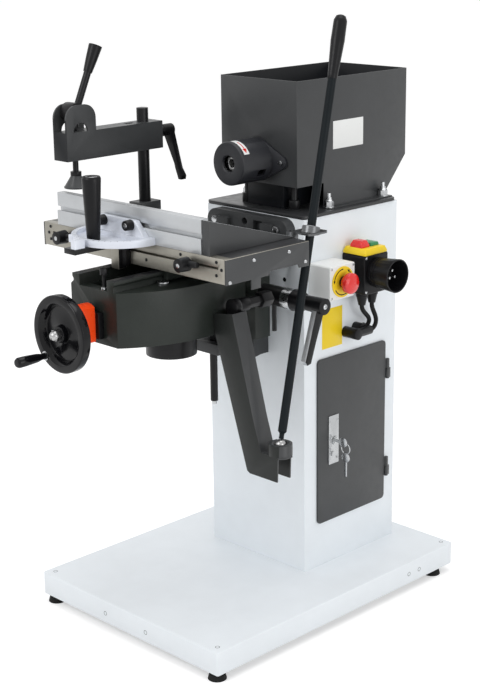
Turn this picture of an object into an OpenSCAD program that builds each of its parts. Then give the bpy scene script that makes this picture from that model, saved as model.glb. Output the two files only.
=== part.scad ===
// Slot mortiser on a cabinet stand: a fixed motor head with a horizontal
// chuck, and a work table that a joystick lever moves on two cross slides.
// Frame: X to the right along the table, Y from the operator towards the
// chuck and the cabinet, Z up from the floor. Lengths are millimetres.

/* [Base] */
// Width of the base tray
base_w = 510; // [480:5:620]
// Depth of the base tray
base_d = 687; // [660:1:800]
// Height of the base tray's skirt
base_h = 47; // [40:1:80]
// Sheet thickness of the base tray
base_wall = 3; // [2:0.5:5]
// How far the tray reaches in front of the cabinet
base_front_reach = 364; // [340:1:420]
// Diameter of a foot
foot_d = 36; // [24:1:50]
// Height of the gap between the floor and the tray
foot_h = 16; // [12:1:30]
// Distance of the feet from the tray's left and right edges
foot_inset_x = 20; // [18:1:40]
// Distance of the front feet from the tray's front edge
foot_inset_front = 18; // [18:1:60]
// Distance of the rear feet from the tray's rear edge
foot_inset_rear = 42; // [18:1:80]

/* [Cabinet] */
// Width of the cabinet
cab_w = 263; // [255:1:280]
// Depth of the cabinet
cab_d = 274; // [268:1:300]
// Height of the cabinet above the tray
cab_h = 722; // [700:1:800]
// Sheet thickness of the cabinet
cab_wall = 2; // [1.5:0.5:4]
// Distance of the cabinet's front wall behind the machine's reference line
cab_front = 119; // [110:1:128]
// Thickness of the rubber gasket on the cabinet
gasket_h = 2; // [1:0.5:4]
// Thickness of the top plate
plate_h = 5; // [4:0.5:8]
// How far the top plate reaches past the cabinet's side walls
plate_reach = 2.5; // [1:0.5:4]

/* [Door] */
// Width of the door
door_w = 205; // [180:1:215]
// Height of the door
door_h = 345; // [300:1:380]
// Thickness of the door
door_t = 4; // [3:0.5:6]
// Height of the door's lower edge above the tray
door_rise = 93; // [60:1:120]
// Distance of the door's front edge from the cabinet's front wall
door_inset = 35; // [25:1:45]
// Radius of the door's corners
door_r = 9; // [4:1:15]
// Radius of a hinge barrel
hinge_r = 4; // [3.5:0.5:5]
// Length of a hinge
hinge_l = 42; // [30:1:60]

/* [Column] */
// Thickness of the column casting
casting_t = 23; // [20:1:24]
// Width of the column casting's top flange
casting_w = 218; // [200:1:240]
// Height of the column casting's top flange
casting_h = 84; // [70:1:100]
// Width of the vertical way at its front
way_w = 86; // [80:1:96]
// Thickness of the vertical way
way_t = 26; // [22:1:30]
// How far the way's flanks lean inwards
way_undercut = 8; // [4:1:12]
// Length of the vertical way
way_l = 238; // [220:1:270]

/* [Head] */
// Height of the chuck axis above the top plate
axis_rise = 94.5; // [90:0.5:110]
// Outer diameter of the chuck guard
guard_d = 84; // [78:1:88]
// Length of the chuck guard
guard_l = 76; // [66:1:80]
// Wall of the chuck guard
guard_wall = 5; // [3:0.5:7]
// Diameter of the hole in the guard's face
guard_hole_d = 30; // [24:1:40]
// Thickness of the guard's flange
guard_flange_t = 6; // [4:0.5:9]
// Distance of the guard flange's screws from the chuck axis
guard_screw_x = 65.5; // [58:0.5:70]
// Diameter of the chuck
chuck_d = 52; // [40:1:60]
// Diameter of the motor shaft
shaft_d = 24; // [18:1:30]
// Diameter of the motor
motor_d = 132; // [110:2:140]
// Length of the motor
motor_l = 236; // [200:2:245]
// Width of the motor cover
cover_w = 204; // [190:2:212]
// Length of the motor cover
cover_l = 321; // [300:1:340]
// Height of the cover's rim above the top plate
cover_h = 249; // [230:1:280]
// Height of the gap under the cover's front wall
cover_gap = 48.6; // [30:0.2:56]
// Sheet thickness of the cover
cover_wall = 2; // [1.5:0.5:4]
// Depth of the recess in the cover's top
cover_recess = 55; // [20:1:66]

/* [Controls] */
// Width of the stop box along the wall
stop_box_w = 71; // [66:1:74]
// Height of the stop box
stop_box_h = 67; // [64:1:80]
// Depth of the stop box
stop_box_t = 55.5; // [45:0.5:70]
// Diameter of the round legend on the stop box
legend_d = 60; // [50:1:64]
// Diameter of the stop button's mushroom
mushroom_d = 40; // [32:1:48]
// Travel of the stop button
stop_travel = 4; // [2:0.5:6]
// Width of the switch box along the wall
switch_box_w = 70; // [66:1:80]
// Height of the switch box
switch_box_h = 78; // [72:1:90]
// Depth of the switch box
switch_box_t = 57.5; // [52:0.5:70]
// Thickness of the base under the two push buttons
switch_base_h = 13; // [9:1:18]
// Travel of the two push buttons
push_travel = 3; // [2:0.5:4]
// Outer diameter of the power inlet's mouth
inlet_d = 66; // [54:1:70]
// Length of the power inlet
inlet_l = 54; // [40:1:70]
// Diameter of the two leads
lead_d = 9; // [6:0.5:10]

/* [Knee] */
// Length of the knee, front to back
knee_l = 340; // [330:1:360]
// Height of the knee's body
knee_h = 100; // [94:1:110]
// Distance of the knee's top below the top of the cabinet
knee_drop = 78; // [74:1:90]
// Width of the knee's front face
knee_front_w = 125; // [110:1:135]
// Radius of the knee's bowed sides
knee_bow_r = 243; // [230:1:260]
// Distance from the column casting to the knee's back
knee_gap = 46; // [42:1:50]
// Height of the knee's two top rails
rail_h = 20; // [16:1:26]
// Width of a top rail
rail_w = 20; // [16:1:24]
// Distance of a top rail's middle from the knee's middle
rail_x = 48; // [40:1:52]
// Diameter of the boss under the knee
boss_d = 97; // [80:1:110]
// Height of the boss under the knee
boss_h = 59; // [40:1:70]

/* [Height drive] */
// Diameter of the handwheel
wheel_d = 141; // [120:1:160]
// Thickness of the handwheel's rim
wheel_t = 18; // [14:1:20]
// Diameter of the handwheel's shaft
drive_d = 14; // [12:1:18]
// Length of the handwheel's handle
wheel_handle_l = 64; // [50:1:80]
// Diameter of the lead screw
screw_d = 15; // [12:0.5:18]
// Length of the lead screw below the nut
screw_drop = 102; // [96:1:120]
// Radius of the bevel gears' pitch cones at the rim
bevel_r = 25; // [22:0.5:27]

/* [Table] */
// Width of the table between its end plates
table_w = 494; // [470:2:560]
// Depth of the table behind its front bar
table_d = 190; // [180:1:192]
// Thickness of the table
table_t = 36; // [32:1:44]
// Thickness of the carriage under the table
carriage_h = 17.7; // [15:0.1:24]
// Height of the table's front bar
bar_h = 43.8; // [40:0.2:50]
// Thickness of the table's front bar
bar_t = 18; // [15:1:24]
// Thickness of the end plates
end_t = 3; // [2:0.5:4]
// Thickness of the upright gusset beside the fence
gusset_t = 18.5; // [12:0.5:24]
// Height of the gusset at its front
gusset_h = 62; // [50:1:80]

/* [Fence and gauge] */
// Length of the fence
fence_l = 395; // [360:1:400]
// Thickness of the fence
fence_t = 18; // [16:0.5:20]
// Height of the fence
fence_h = 61.5; // [55:0.5:64]
// Width of the mitre bar
mitre_w = 30; // [24:1:34]
// Thickness of the mitre bar
mitre_t = 9.5; // [7:0.5:11]
// Radius of the gauge's half moon
moon_r = 90; // [80:1:96]
// Thickness of the gauge's half moon
moon_t = 12.5; // [9:0.5:14]
// Length of the gauge's handle
gauge_handle_l = 115; // [90:1:125]

/* [Hold-down] */
// Diameter of the post
post_d = 23; // [20:0.5:28]
// Height of the post's top above the table
post_h = 201.7; // [195:0.1:230]
// Height of the arm's underside above the table
arm_rise = 121.7; // [118:0.1:140]
// Width of the arm
arm_w = 40; // [36:1:46]
// Height of the arm
arm_h = 53; // [46:1:60]
// Length of the arm
arm_l = 238; // [225:1:260]
// Thickness of a cheek
cheek_t = 4; // [3:0.5:6]
// Diameter of the plunger
plunger_d = 11; // [9:0.5:14]
// Diameter of the plunger's pad
pad_d = 47; // [28:1:50]
// Stroke of the plunger
plunger_stroke = 5; // [3:0.5:5]

/* [Joystick lever] */
// Diameter of the lever's rod
lever_d = 16; // [12:0.5:18]
// Diameter of the lever's grip
grip_d = 26; // [22:1:30]
// Length of the lever's grip
grip_l = 118; // [90:1:130]
// Length of the lever from the ball's middle to its top
lever_l = 787; // [700:1:840]
// Radius of the ball at the lever's foot
ball_r = 10; // [9:0.5:11]
// Radial play of the lever in its ring on the table
ring_play = 6; // [5:0.5:8]

/* [Hidden] */
$fn = 64;

// clearances between sliding faces, and between a shaft and its bore
slide_gap = 0.3;
run_gap = 0.05;
// overshoot of a cut past the face that it opens
cut = 1;
// the chuck axis and the reference line, seen from the middle of the floor space
machine_at = [-18, -8, 0];

// stand
base_top = foot_h + base_h;
base_y0 = cab_front - base_front_reach;
base_y1 = base_y0 + base_d;
cab_x = cab_w / 2;
cab_y1 = cab_front + cab_d;
cab_top = base_top + cab_h;
plate_z0 = cab_top + gasket_h;
plate_top = plate_z0 + plate_h;
plate_x = cab_x + plate_reach;
plate_y = [cab_front - plate_reach, cab_y1 - 4];

// door on the right wall, and its opening
door_y = [cab_front + door_inset, cab_front + door_inset + door_w];
door_z = [base_top + door_rise, base_top + door_rise + door_h];
door_x = cab_x + slide_gap;
door_face = door_x + door_t;
door_frame = 12;
hinge_x = cab_x + hinge_r + 0.5;
hinge_y = door_y[1] + 6;
hinge_z = [door_z[0] + 48, door_z[1] - 48 - hinge_l + 7];
lock_y = door_y[0] + 46;
lock_z = door_z[1] - 175;
key_reach = 18;

// column casting and vertical way
casting_y = cab_front - casting_t;
casting_z1 = cab_top - 1;
casting_z0 = casting_z1 - casting_h;
casting_r = 24;
casting_rib = 8;
casting_bolt_x = casting_w / 2 - 26;
casting_bolt_z = casting_z1 - 20;
way_y = casting_y - way_t;
way_z1 = casting_z1 - 39;
way_z0 = way_z1 - way_l;

// motor head
axis_z = plate_top + axis_rise;
cover_y0 = cab_front + 13;
cover_y1 = cover_y0 + cover_l;
cover_x = cover_w / 2;
cover_z1 = plate_top + cover_h;
cover_z0 = plate_top + cover_gap;
cover_notch = 75;
cover_tail_y = cover_y1 - 63;
cover_tail_z = plate_top + 77;
cover_flange = 20;
motor_y0 = cover_y0 + 18;
motor_foot_x = 48;
guard_y1 = cover_y0;
guard_y0 = guard_y1 - guard_flange_t - guard_l;
guard_in_r = guard_d / 2 - guard_wall;
shaft_hole_r = 32;
bearing_t = 14;
chuck_y = [guard_y0 + guard_wall + 5, guard_y1 - guard_flange_t - 8];
plate_bolt_x = cover_x + 9;
plate_bolt_y = [cover_y0 + 80, cover_y0 + 241];
level_bolt = [63.5, cover_y0 + 33];

// boxes on the right wall
stop_y = cab_front + 12;
stop_z = cab_top - 152;
stop_mid = [cab_x + stop_box_t, stop_y + stop_box_w / 2, stop_z + stop_box_h / 2];
legend_t = 2;
switch_y = cab_front + 109;
switch_z = cab_top - 158;
switch_top = switch_z + switch_box_h;
switch_mid_x = cab_x + switch_box_t / 2;
switch_mid_y = switch_y + switch_box_w / 2;
push_y = [switch_y + 19, switch_y + 46];
push_size = [30, 24];
inlet_z = switch_z + 42;
inlet_wall = 2.5;
inlet_floor = 16;
pin_r = 2.5;
pin_ring = 9;
gland_x = cab_x + 28.5;
gland_y = [switch_y + 27, switch_y + 57];
gland_h = 28;
elbow_r = 11;
elbow_y = [switch_y + 10, switch_y + 40];
elbow_z = [switch_z - 84, switch_z - 81];
elbow_x = [cab_x + 27, cab_x + 12];
elbow_l = [44, 13];

// the two leads: each hangs down from its gland and turns back into its elbow
lead_end_l = 3;
lead_turn_r = [15, 9];
lead_sides = 10;

// knee
knee_y1 = casting_y - knee_gap;
knee_y0 = knee_y1 - knee_l;
knee_z1 = cab_top - knee_drop;
knee_z0 = knee_z1 - knee_h;
bow_y = knee_y0 + 160;
bow_x = sqrt(knee_bow_r * knee_bow_r - pow(bow_y - knee_y0, 2)) - knee_front_w / 2;
saddle_x = 74;
saddle_y = casting_y - 12;
saddle_z0 = knee_z0 - 52;
rail_z1 = knee_z1 + rail_h;
rail_y1 = knee_y1 - 10;
rail_undercut = 3;
gear_pocket_x = 36;
screw_y = knee_y1 - 48;
drive_z = knee_z0 + 31;
wheel_y = knee_y0 - 83;
counter_y = knee_y0 - 60;
counter_mount_t = 12;
bevel_in = 12;
bevel_gap = 0.6;
bevel_teeth = 16;
nut_z = [saddle_z0 - 26, saddle_z0 - 5];
screw_end_l = 7;
bracket_y = [knee_y0 + 178, knee_y0 + 214];
bracket_x = 122.3;
bracket_t = 3;
bracket_z = knee_z0 - 246;
bolt_at = [147, knee_z0 + 52];
foot_z = bracket_z + 47;
lock_y0 = knee_y1 - 2;
lock_z0 = knee_z0 + 44;
lock_x = [94, 152, 174, 195, 250];

// lever: ball on the bracket, ring on the table
ball = [269, knee_y0 + 198, foot_z + 18];
ring = [224, knee_y0 + 328, knee_z0 + 187];
lever_dir = (ring - ball) / norm(ring - ball);
socket_r = 22;

// carriage and table
carriage_z0 = rail_z1 + slide_gap;
carriage_z1 = carriage_z0 + carriage_h;
carriage_x = 110;
bar_y0 = knee_y0 + 87;
bar_y1 = bar_y0 + bar_t;
table_x = table_w / 2;
table_y1 = bar_y1 + table_d;
table_z0 = carriage_z1 + slide_gap;
table_z1 = table_z0 + table_t;
bar_z0 = table_z1 - bar_h;
carriage_y = [bar_y1 + 10, table_y1 - 20];
guide_h = 8;
guide_y = [carriage_y[0] + 25, carriage_y[1] - 55];
guide_w = 30;
slot_z = [table_z1 - 19.5, table_z1 - 15.5];
slot_depth = 10;
slot_x = [-222, 231];
stop_x = [-172, 165];
stop_knob_r = 13;
stop_knob_l = 22;
end_z0 = bar_z0 - 1.5;
ring_plate_z = ring[2] - 7;

// fence and gauge
gauge_x = -18;
mitre_z1 = table_z1;
mitre_z0 = mitre_z1 - mitre_t;
mitre_y0 = bar_y0 - 122;
fence_x0 = -205;
fence_z0 = table_z1 + slide_gap;
fence_groove_z = fence_z0 + 31.5;
moon_z0 = mitre_z1 + slide_gap;
moon_z1 = moon_z0 + moon_t;
moon_floor = moon_z1 - 8;
moon_y = bar_y0 - 2;
pivot_y = bar_y0 - 8;
pivot_r = 5;
pivot_h = 5;
flange_t = 12;
gauge_stud = [gauge_x - 8, pivot_y - 52];
gauge_stud_r = 3;
gauge_slot_r = norm(gauge_stud - [gauge_x, pivot_y]);
gauge_slot_w = 10;
gauge_knob_x = [-53, 21];
gauge_knob_r = 10;

// hold-down
post = [-188, table_y1 - 3];
post_block_z1 = table_z1 + 18.7;
arm_z0 = table_z1 + arm_rise;
arm_z1 = arm_z0 + arm_h;
arm_y1 = post[1] + 34;
arm_y0 = arm_y1 - arm_l;
arm_wall = 4;
plunger_y = arm_y0 + 34;
cheek_y = [arm_y0, arm_y0 + 71];
cheek_h = 50;
cheek_r = 26;
cam_pin_z = arm_z1 + 33;
cam_pin_r = 4;
cam_r = 18;
cam_off = 2.5;
cam_w = arm_w - 2 * cheek_t - 4;
plunger_top = cam_pin_z + cam_off - cam_r - slide_gap;
plunger_head_z = arm_z1 + plunger_stroke + 1;
pad_z0 = arm_z0 - 54;
clamp_z = arm_z0 + 30;
clamp_l = 95;

// ---- helpers ----
module placed() {
    translate(machine_at) children();
}

module block(x, y, z) {
    translate([x[0], y[0], z[0]])
        cube([x[1] - x[0], y[1] - y[0], z[1] - z[0]]);
}

module rod_x(p, r, l, r2 = undef) {
    translate(p) rotate([0, 90, 0]) cylinder(r1 = r, r2 = is_undef(r2) ? r : r2, h = l);
}

module rod_y(p, r, l, r2 = undef) {
    translate(p) rotate([-90, 0, 0]) cylinder(r1 = r, r2 = is_undef(r2) ? r : r2, h = l);
}

module rod_z(p, r, l, r2 = undef) {
    translate(p) cylinder(r1 = r, r2 = is_undef(r2) ? r : r2, h = l);
}

// places its children with their Z axis along a direction
module along(p, dir) {
    translate(p)
        rotate([0, acos(dir[2] / norm(dir)), atan2(dir[1], dir[0])])
            children();
}

// a flat outline in the Y-Z plane, thickened along X
module slab_x(x, pts) {
    translate([x[0], 0, 0])
        rotate([90, 0, 90]) linear_extrude(x[1] - x[0]) polygon(pts);
}

// a flat outline in the X-Z plane, thickened along Y
module slab_y(y, pts) {
    translate([0, y[1], 0])
        rotate([90, 0, 0]) linear_extrude(y[1] - y[0]) polygon(pts);
}

module rounded_rect(x, y, r) {
    union() {
        translate([x[0] + r, y[0]]) square([x[1] - x[0] - 2 * r, y[1] - y[0]]);
        translate([x[0], y[0] + r]) square([x[1] - x[0], y[1] - y[0] - 2 * r]);
        for (cx = [x[0] + r, x[1] - r], cy = [y[0] + r, y[1] - r])
            translate([cx, cy]) circle(r);
    }
}

module both_sides() {
    children();
    mirror([1, 0, 0]) children();
}

// a tube swept along a route, with flat ends
module sweep(route, r, sides) {
    n = len(route);
    function tangent(i) =
        let (t = route[min(i + 1, n - 1)] - route[max(i - 1, 0)]) t / norm(t);
    function ring_at(i) =
        let (t = tangent(i), u0 = cross([1, 0, 0], t), u = u0 / norm(u0), v = cross(t, u))
        [for (k = [0 : sides - 1])
            route[i] + r * (cos(360 * k / sides) * u + sin(360 * k / sides) * v)];
    points = [for (i = [0 : n - 1]) each ring_at(i)];
    walls = [for (i = [0 : n - 2], k = [0 : sides - 1])
        let (a = i * sides + k, b = i * sides + (k + 1) % sides)
        each [[a, b, b + sides], [a, b + sides, a + sides]]];
    caps = [for (k = [1 : sides - 2])
        each [[0, k + 1, k], [(n - 1) * sides, (n - 1) * sides + k, (n - 1) * sides + k + 1]]];
    polyhedron(points, concat(walls, caps));
}

// ---- stand ----
module base_tray() {
    color("gainsboro")
        difference() {
            block([-base_w / 2, base_w / 2], [base_y0, base_y1], [foot_h, base_top]);
            block([-base_w / 2 + base_wall, base_w / 2 - base_wall],
                  [base_y0 + base_wall, base_y1 - base_wall],
                  [foot_h - cut, base_top - base_wall]);
        }
}

module base_feet() {
    pad_h = 11;
    stud_r = 6;
    color("black")
        for (x = [-base_w / 2 + foot_inset_x, base_w / 2 - foot_inset_x],
             y = [base_y0 + foot_inset_front, base_y1 - foot_inset_rear]) {
            rod_z([x, y, 0], foot_d / 2, pad_h, foot_d / 2 - 3);
            rod_z([x, y, pad_h], stud_r, base_top - base_wall - pad_h);
        }
}

module cabinet() {
    color("whitesmoke")
        difference() {
            block([-cab_x, cab_x], [cab_front, cab_y1], [base_top, cab_top]);
            block([-cab_x + cab_wall, cab_x - cab_wall],
                  [cab_front + cab_wall, cab_y1 - cab_wall],
                  [base_top + cab_wall, cab_top + cut]);
            block([cab_x - cab_wall - cut, cab_x + cut],
                  [door_y[0] + door_frame, door_y[1] - door_frame],
                  [door_z[0] + door_frame, door_z[1] - door_frame]);
            rod_y([cab_x - 51.5, cab_front - cut, cab_top - 123], 4, cab_wall + 2 * cut);
        }
}

module top_gasket() {
    inset = 4;
    color("black")
        difference() {
            block([-cab_x + inset, cab_x - inset], [cab_front, cab_y1 - 9],
                  [cab_top, plate_z0]);
            block([-cab_x + 6 * inset, cab_x - 6 * inset],
                  [cab_front + 6 * inset, cab_y1 - 9 - 6 * inset],
                  [cab_top - cut, plate_z0 + cut]);
        }
}

module top_plate() {
    hole_r = 3;
    color("dimgray")
        difference() {
            translate([0, 0, plate_z0])
                linear_extrude(plate_h)
                    rounded_rect([-plate_x, plate_x], plate_y, 12);
            for (x = [-plate_bolt_x, plate_bolt_x], y = plate_bolt_y)
                rod_z([x, y, plate_z0 - cut], hole_r, plate_h + 2 * cut);
        }
}

// a bolt standing on a plate: washer, nut and the bolt's end
module bolt_stack(r, h) {
    rod_z([0, 0, 0], r, h * 0.12);
    cylinder(r = r * 0.85, h = h * 0.55, $fn = 6);
    rod_z([0, 0, h * 0.55], r * 0.45, h * 0.45);
}

module head_bolts() {
    plate_bolt_h = 28;
    level_h = 48;
    level_nut_h = 17;
    color("silver") {
        for (x = [-plate_bolt_x, plate_bolt_x], y = plate_bolt_y)
            translate([x, y, plate_top + cover_wall]) bolt_stack(8.5, plate_bolt_h);
        for (x = [-level_bolt[0], level_bolt[0]])
            translate([x, level_bolt[1], plate_top]) {
                rod_z([0, 0, 0], 11, level_nut_h);
                rod_z([0, 0, level_nut_h], 6, level_h - level_nut_h);
            }
        for (x = [-casting_bolt_x, casting_bolt_x])
            rod_y([x, casting_y - 7, casting_bolt_z], 7, 7);
        for (x = [-guard_screw_x, guard_screw_x])
            rod_y([x, guard_y1 - guard_flange_t - 4, axis_z], 4.5, 4);
    }
}

// ---- column ----
// plan of the vertical way: wider at the front than at its root
module way_plan(grow) {
    polygon([
        [-way_w / 2 - grow, way_y - grow], [way_w / 2 + grow, way_y - grow],
        [way_w / 2 - way_undercut + grow, casting_y], [-way_w / 2 + way_undercut - grow, casting_y]
    ]);
}

module column_casting() {
    core_x = way_w / 2 - way_undercut;
    rib_x = [44, 75];
    slot = [19, 43];
    color("dimgray")
        difference() {
            union() {
                translate([0, cab_front, 0])
                    rotate([90, 0, 0])
                        linear_extrude(casting_t)
                            rounded_rect([-casting_w / 2, casting_w / 2],
                                         [casting_z0, casting_z1], casting_r);
                block([-core_x, core_x], [casting_y, cab_front], [way_z0, casting_z0 + 1]);
                translate([0, 0, way_z0]) linear_extrude(way_l) way_plan(0);
                both_sides()
                    block(rib_x, [casting_y - casting_rib, casting_y],
                          [casting_z0 + 30, casting_z1 - 12]);
            }
            block(slot, [casting_y - cut, casting_y + 12], [way_z1 + 2, casting_z1 - 10]);
            rod_y([-5, casting_y - cut, casting_z1 - 15], 7, casting_t + 2 * cut);
        }
}

module screw_nut() {
    x = 35;
    color("dimgray")
        difference() {
            block([-x, x], [screw_y - 22, way_y], nut_z);
            rod_z([0, screw_y, nut_z[0] - cut], screw_d / 2 + run_gap, nut_z[1] - nut_z[0] + 2 * cut);
        }
}

// ---- motor head ----
module motor_body() {
    foot_top = axis_z - 40;
    color("black")
        difference() {
            union() {
                rod_y([0, motor_y0, axis_z], motor_d / 2, motor_l);
                block([-motor_foot_x, motor_foot_x], [motor_y0, motor_y0 + motor_l],
                      [plate_top, foot_top]);
            }
            rod_y([0, motor_y0 + bearing_t, axis_z], shaft_d / 2 + 12, motor_l - 2 * bearing_t);
            rod_y([0, motor_y0 - cut, axis_z], shaft_d / 2 + 10, motor_l + 2 * cut);
        }
}

module motor_bearings() {
    color("silver")
        for (y = [motor_y0, motor_y0 + motor_l - bearing_t])
            difference() {
                rod_y([0, y, axis_z], shaft_d / 2 + 10, bearing_t);
                rod_y([0, y - cut, axis_z], shaft_d / 2 + run_gap, bearing_t + 2 * cut);
            }
}

module motor_shaft() {
    fan_y = motor_y0 + motor_l + 6;
    fan_r = 48;
    blades = 8;
    rotor_r = shaft_d / 2 + 11;
    color("silver")
        rod_y([0, chuck_y[1] - 30, axis_z], shaft_d / 2, fan_y + 18 - chuck_y[1] + 30);
    color("gray")
        rod_y([0, motor_y0 + bearing_t + 4, axis_z], rotor_r, motor_l - 2 * bearing_t - 8);
    color("gray")
        for (k = [0 : blades - 1])
            translate([0, fan_y, axis_z])
                rotate([0, 360 * k / blades, 0])
                    block([0, fan_r], [0, 16], [-1.5, 1.5]);
}

module chuck() {
    bore_r = 8;
    color("silver")
        difference() {
            union() {
                rod_y([0, chuck_y[0], axis_z], chuck_d / 2 - 6, 14, chuck_d / 2);
                rod_y([0, chuck_y[0] + 14, axis_z], chuck_d / 2, chuck_y[1] - chuck_y[0] - 14);
            }
            rod_y([0, chuck_y[0] - cut, axis_z], bore_r, 24 + cut);
            rod_y([0, chuck_y[1] - 30, axis_z], shaft_d / 2, 30 + cut);
        }
}

// side outline of the cover, smaller by a wall for its inside
module cover_outline(w) {
    polygon([
        [cover_y0 + w, cover_z1], [cover_y0 + w, cover_z0 - (w > 0 ? cut : 0)],
        [cover_y0 + cover_notch, cover_z0 - (w > 0 ? cut : 0)],
        [cover_y0 + cover_notch, plate_top - (w > 0 ? cut : 0)],
        [cover_tail_y - w, plate_top - (w > 0 ? cut : 0)], [cover_tail_y - w, plate_top + 6],
        [cover_y1 - w, cover_tail_z], [cover_y1 - w, cover_z1]
    ]);
}

module cover_solid(x, w, lift) {
    translate([-x, 0, lift])
        rotate([90, 0, 90]) linear_extrude(2 * x) cover_outline(w);
}

module motor_cover() {
    flange_y = [cover_y0 + cover_notch, cover_tail_y];
    color("dimgray")
        difference() {
            union() {
                cover_solid(cover_x, 0, 0);
                both_sides()
                    block([cover_x - cover_wall, cover_x + cover_flange], flange_y,
                          [plate_top, plate_top + cover_wall]);
            }
            cover_solid(cover_x - cover_wall, cover_wall, 0);
            cover_solid(cover_x - cover_wall, cover_wall, cover_wall);
            rod_y([0, cover_y0 - cut, axis_z], shaft_hole_r, cover_wall + 2 * cut);
            both_sides()
                for (y = plate_bolt_y)
                    rod_z([plate_bolt_x, y, plate_top - cut], 3, cover_wall + 2 * cut);
        }
}

module cover_panel() {
    z = cover_z1 - cover_recess;
    color("black")
        block([-cover_x + cover_wall, cover_x - cover_wall],
              [cover_y0 + cover_wall, cover_y1 - cover_wall], [z, z + cover_wall]);
}

module chuck_guard() {
    y2 = guard_y1 - guard_flange_t;
    ear_r = 12;
    color("black")
        difference() {
            union() {
                rod_y([0, guard_y0, axis_z], guard_d / 2, guard_l);
                hull() {
                    rod_y([0, y2, axis_z], guard_d / 2, guard_flange_t);
                    for (x = [-guard_screw_x, guard_screw_x])
                        rod_y([x, y2, axis_z], ear_r, guard_flange_t, $fn = 32);
                }
            }
            rod_y([0, guard_y0 - cut, axis_z], guard_hole_d / 2, guard_wall + 2 * cut);
            rod_y([0, guard_y0 + guard_wall, axis_z], guard_in_r, guard_l + guard_flange_t);
            translate([0, guard_y1 - guard_flange_t - 34, axis_z])
                rotate([0, 28, 0])
                    block([guard_in_r - 4, guard_d / 2 + cut], [0, 20], [-7, 7]);
        }
}

// ---- controls on the right wall ----
module stop_box() {
    neck_r = 11;
    x1 = cab_x + stop_box_t;
    color("white")
        difference() {
            translate([cab_x, 0, 0])
                rotate([90, 0, 90])
                    linear_extrude(stop_box_t)
                        rounded_rect([stop_y, stop_y + stop_box_w], [stop_z, stop_z + stop_box_h], 4);
            rod_x([x1 - 30, stop_mid[1], stop_mid[2]], neck_r + run_gap, 30 + cut);
        }
}

module stop_legend() {
    neck_r = 11;
    color("gold")
        difference() {
            rod_x(stop_mid, legend_d / 2, legend_t);
            rod_x(stop_mid - [cut, 0, 0], neck_r + run_gap, legend_t + 2 * cut);
        }
}

module stop_button() {
    neck_r = 11;
    x = stop_mid[0] + legend_t;
    color("red") {
        rod_x([x - 20, stop_mid[1], stop_mid[2]], neck_r, 28);
        rod_x([x + 8, stop_mid[1], stop_mid[2]], mushroom_d / 2 - 4, 6, mushroom_d / 2);
        rod_x([x + 14, stop_mid[1], stop_mid[2]], mushroom_d / 2, 9);
        rod_x([x + 23, stop_mid[1], stop_mid[2]], mushroom_d / 2, 4, mushroom_d / 2 - 6);
    }
}

module switch_box() {
    color("black")
        translate([cab_x, 0, 0])
            rotate([90, 0, 90])
                linear_extrude(switch_box_t)
                    rounded_rect([switch_y, switch_y + switch_box_w], [switch_z, switch_top], 5);
}

module switch_base() {
    x = [switch_mid_x - 24, switch_mid_x + 28];
    pocket = push_travel + 3;
    color("gold")
        difference() {
            hull() {
                block([x[0] - 3, x[1] + 3], [switch_y, switch_y + switch_box_w - 5],
                      [switch_top, switch_top + 4]);
                block(x, [switch_y + 4, switch_y + switch_box_w - 9],
                      [switch_top + 4, switch_top + switch_base_h]);
            }
            for (y = push_y)
                block([switch_mid_x - push_size[0] / 2 - slide_gap,
                       switch_mid_x + push_size[0] / 2 + slide_gap],
                      [y - push_size[1] / 2 - slide_gap, y + push_size[1] / 2 + slide_gap],
                      [switch_top + switch_base_h - pocket, switch_top + switch_base_h + cut]);
        }
}

module push_button(y, rise, taper) {
    z = switch_top + switch_base_h;
    half = push_size / 2;
    top = half - [taper, taper];
    hull() {
        block([switch_mid_x - half[0], switch_mid_x + half[0]], [y - half[1], y + half[1]],
              [z - 2, z + rise * 0.3]);
        block([switch_mid_x - top[0], switch_mid_x + top[0]], [y - top[1], y + top[1]],
              [z - 2, z + rise]);
    }
}

module off_button() {
    color("red") push_button(push_y[0], 13, 4);
}

module start_button() {
    color("green") push_button(push_y[1], 6, 1);
}

module power_inlet() {
    x0 = cab_x + switch_box_t;
    color("black") {
        difference() {
            union() {
                rod_x([x0, switch_mid_y, inlet_z], inlet_d / 2 - 5, inlet_l * 0.4, inlet_d / 2 - 3);
                rod_x([x0 + inlet_l * 0.4, switch_mid_y, inlet_z], inlet_d / 2 - 3,
                      inlet_l * 0.6, inlet_d / 2);
            }
            rod_x([x0 + inlet_floor, switch_mid_y, inlet_z], inlet_d / 2 - inlet_wall - 3,
                  inlet_l - inlet_floor + cut, inlet_d / 2 - inlet_wall);
        }
        for (k = [0 : 2])
            rod_x([x0 + inlet_floor - cut, switch_mid_y + pin_ring * cos(120 * k + 90),
                   inlet_z + pin_ring * sin(120 * k + 90)], pin_r, 26);
    }
}

module cable_glands() {
    color("black") {
        for (y = gland_y)
            difference() {
                union() {
                    rod_z([gland_x, y, switch_z - 10], 12, 10);
                    rod_z([gland_x, y, switch_z - gland_h], 7, gland_h - 10, 11);
                }
                rod_z([gland_x, y, switch_z - gland_h - cut], 3, 6);
            }
        for (k = [0, 1]) {
            rod_x([cab_x, elbow_y[k], elbow_z[k]], elbow_r, elbow_x[k] + elbow_r - cab_x - 2);
            rod_y([elbow_x[k], elbow_y[k], elbow_z[k]], elbow_r - 2, elbow_l[k]);
        }
    }
}

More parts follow.
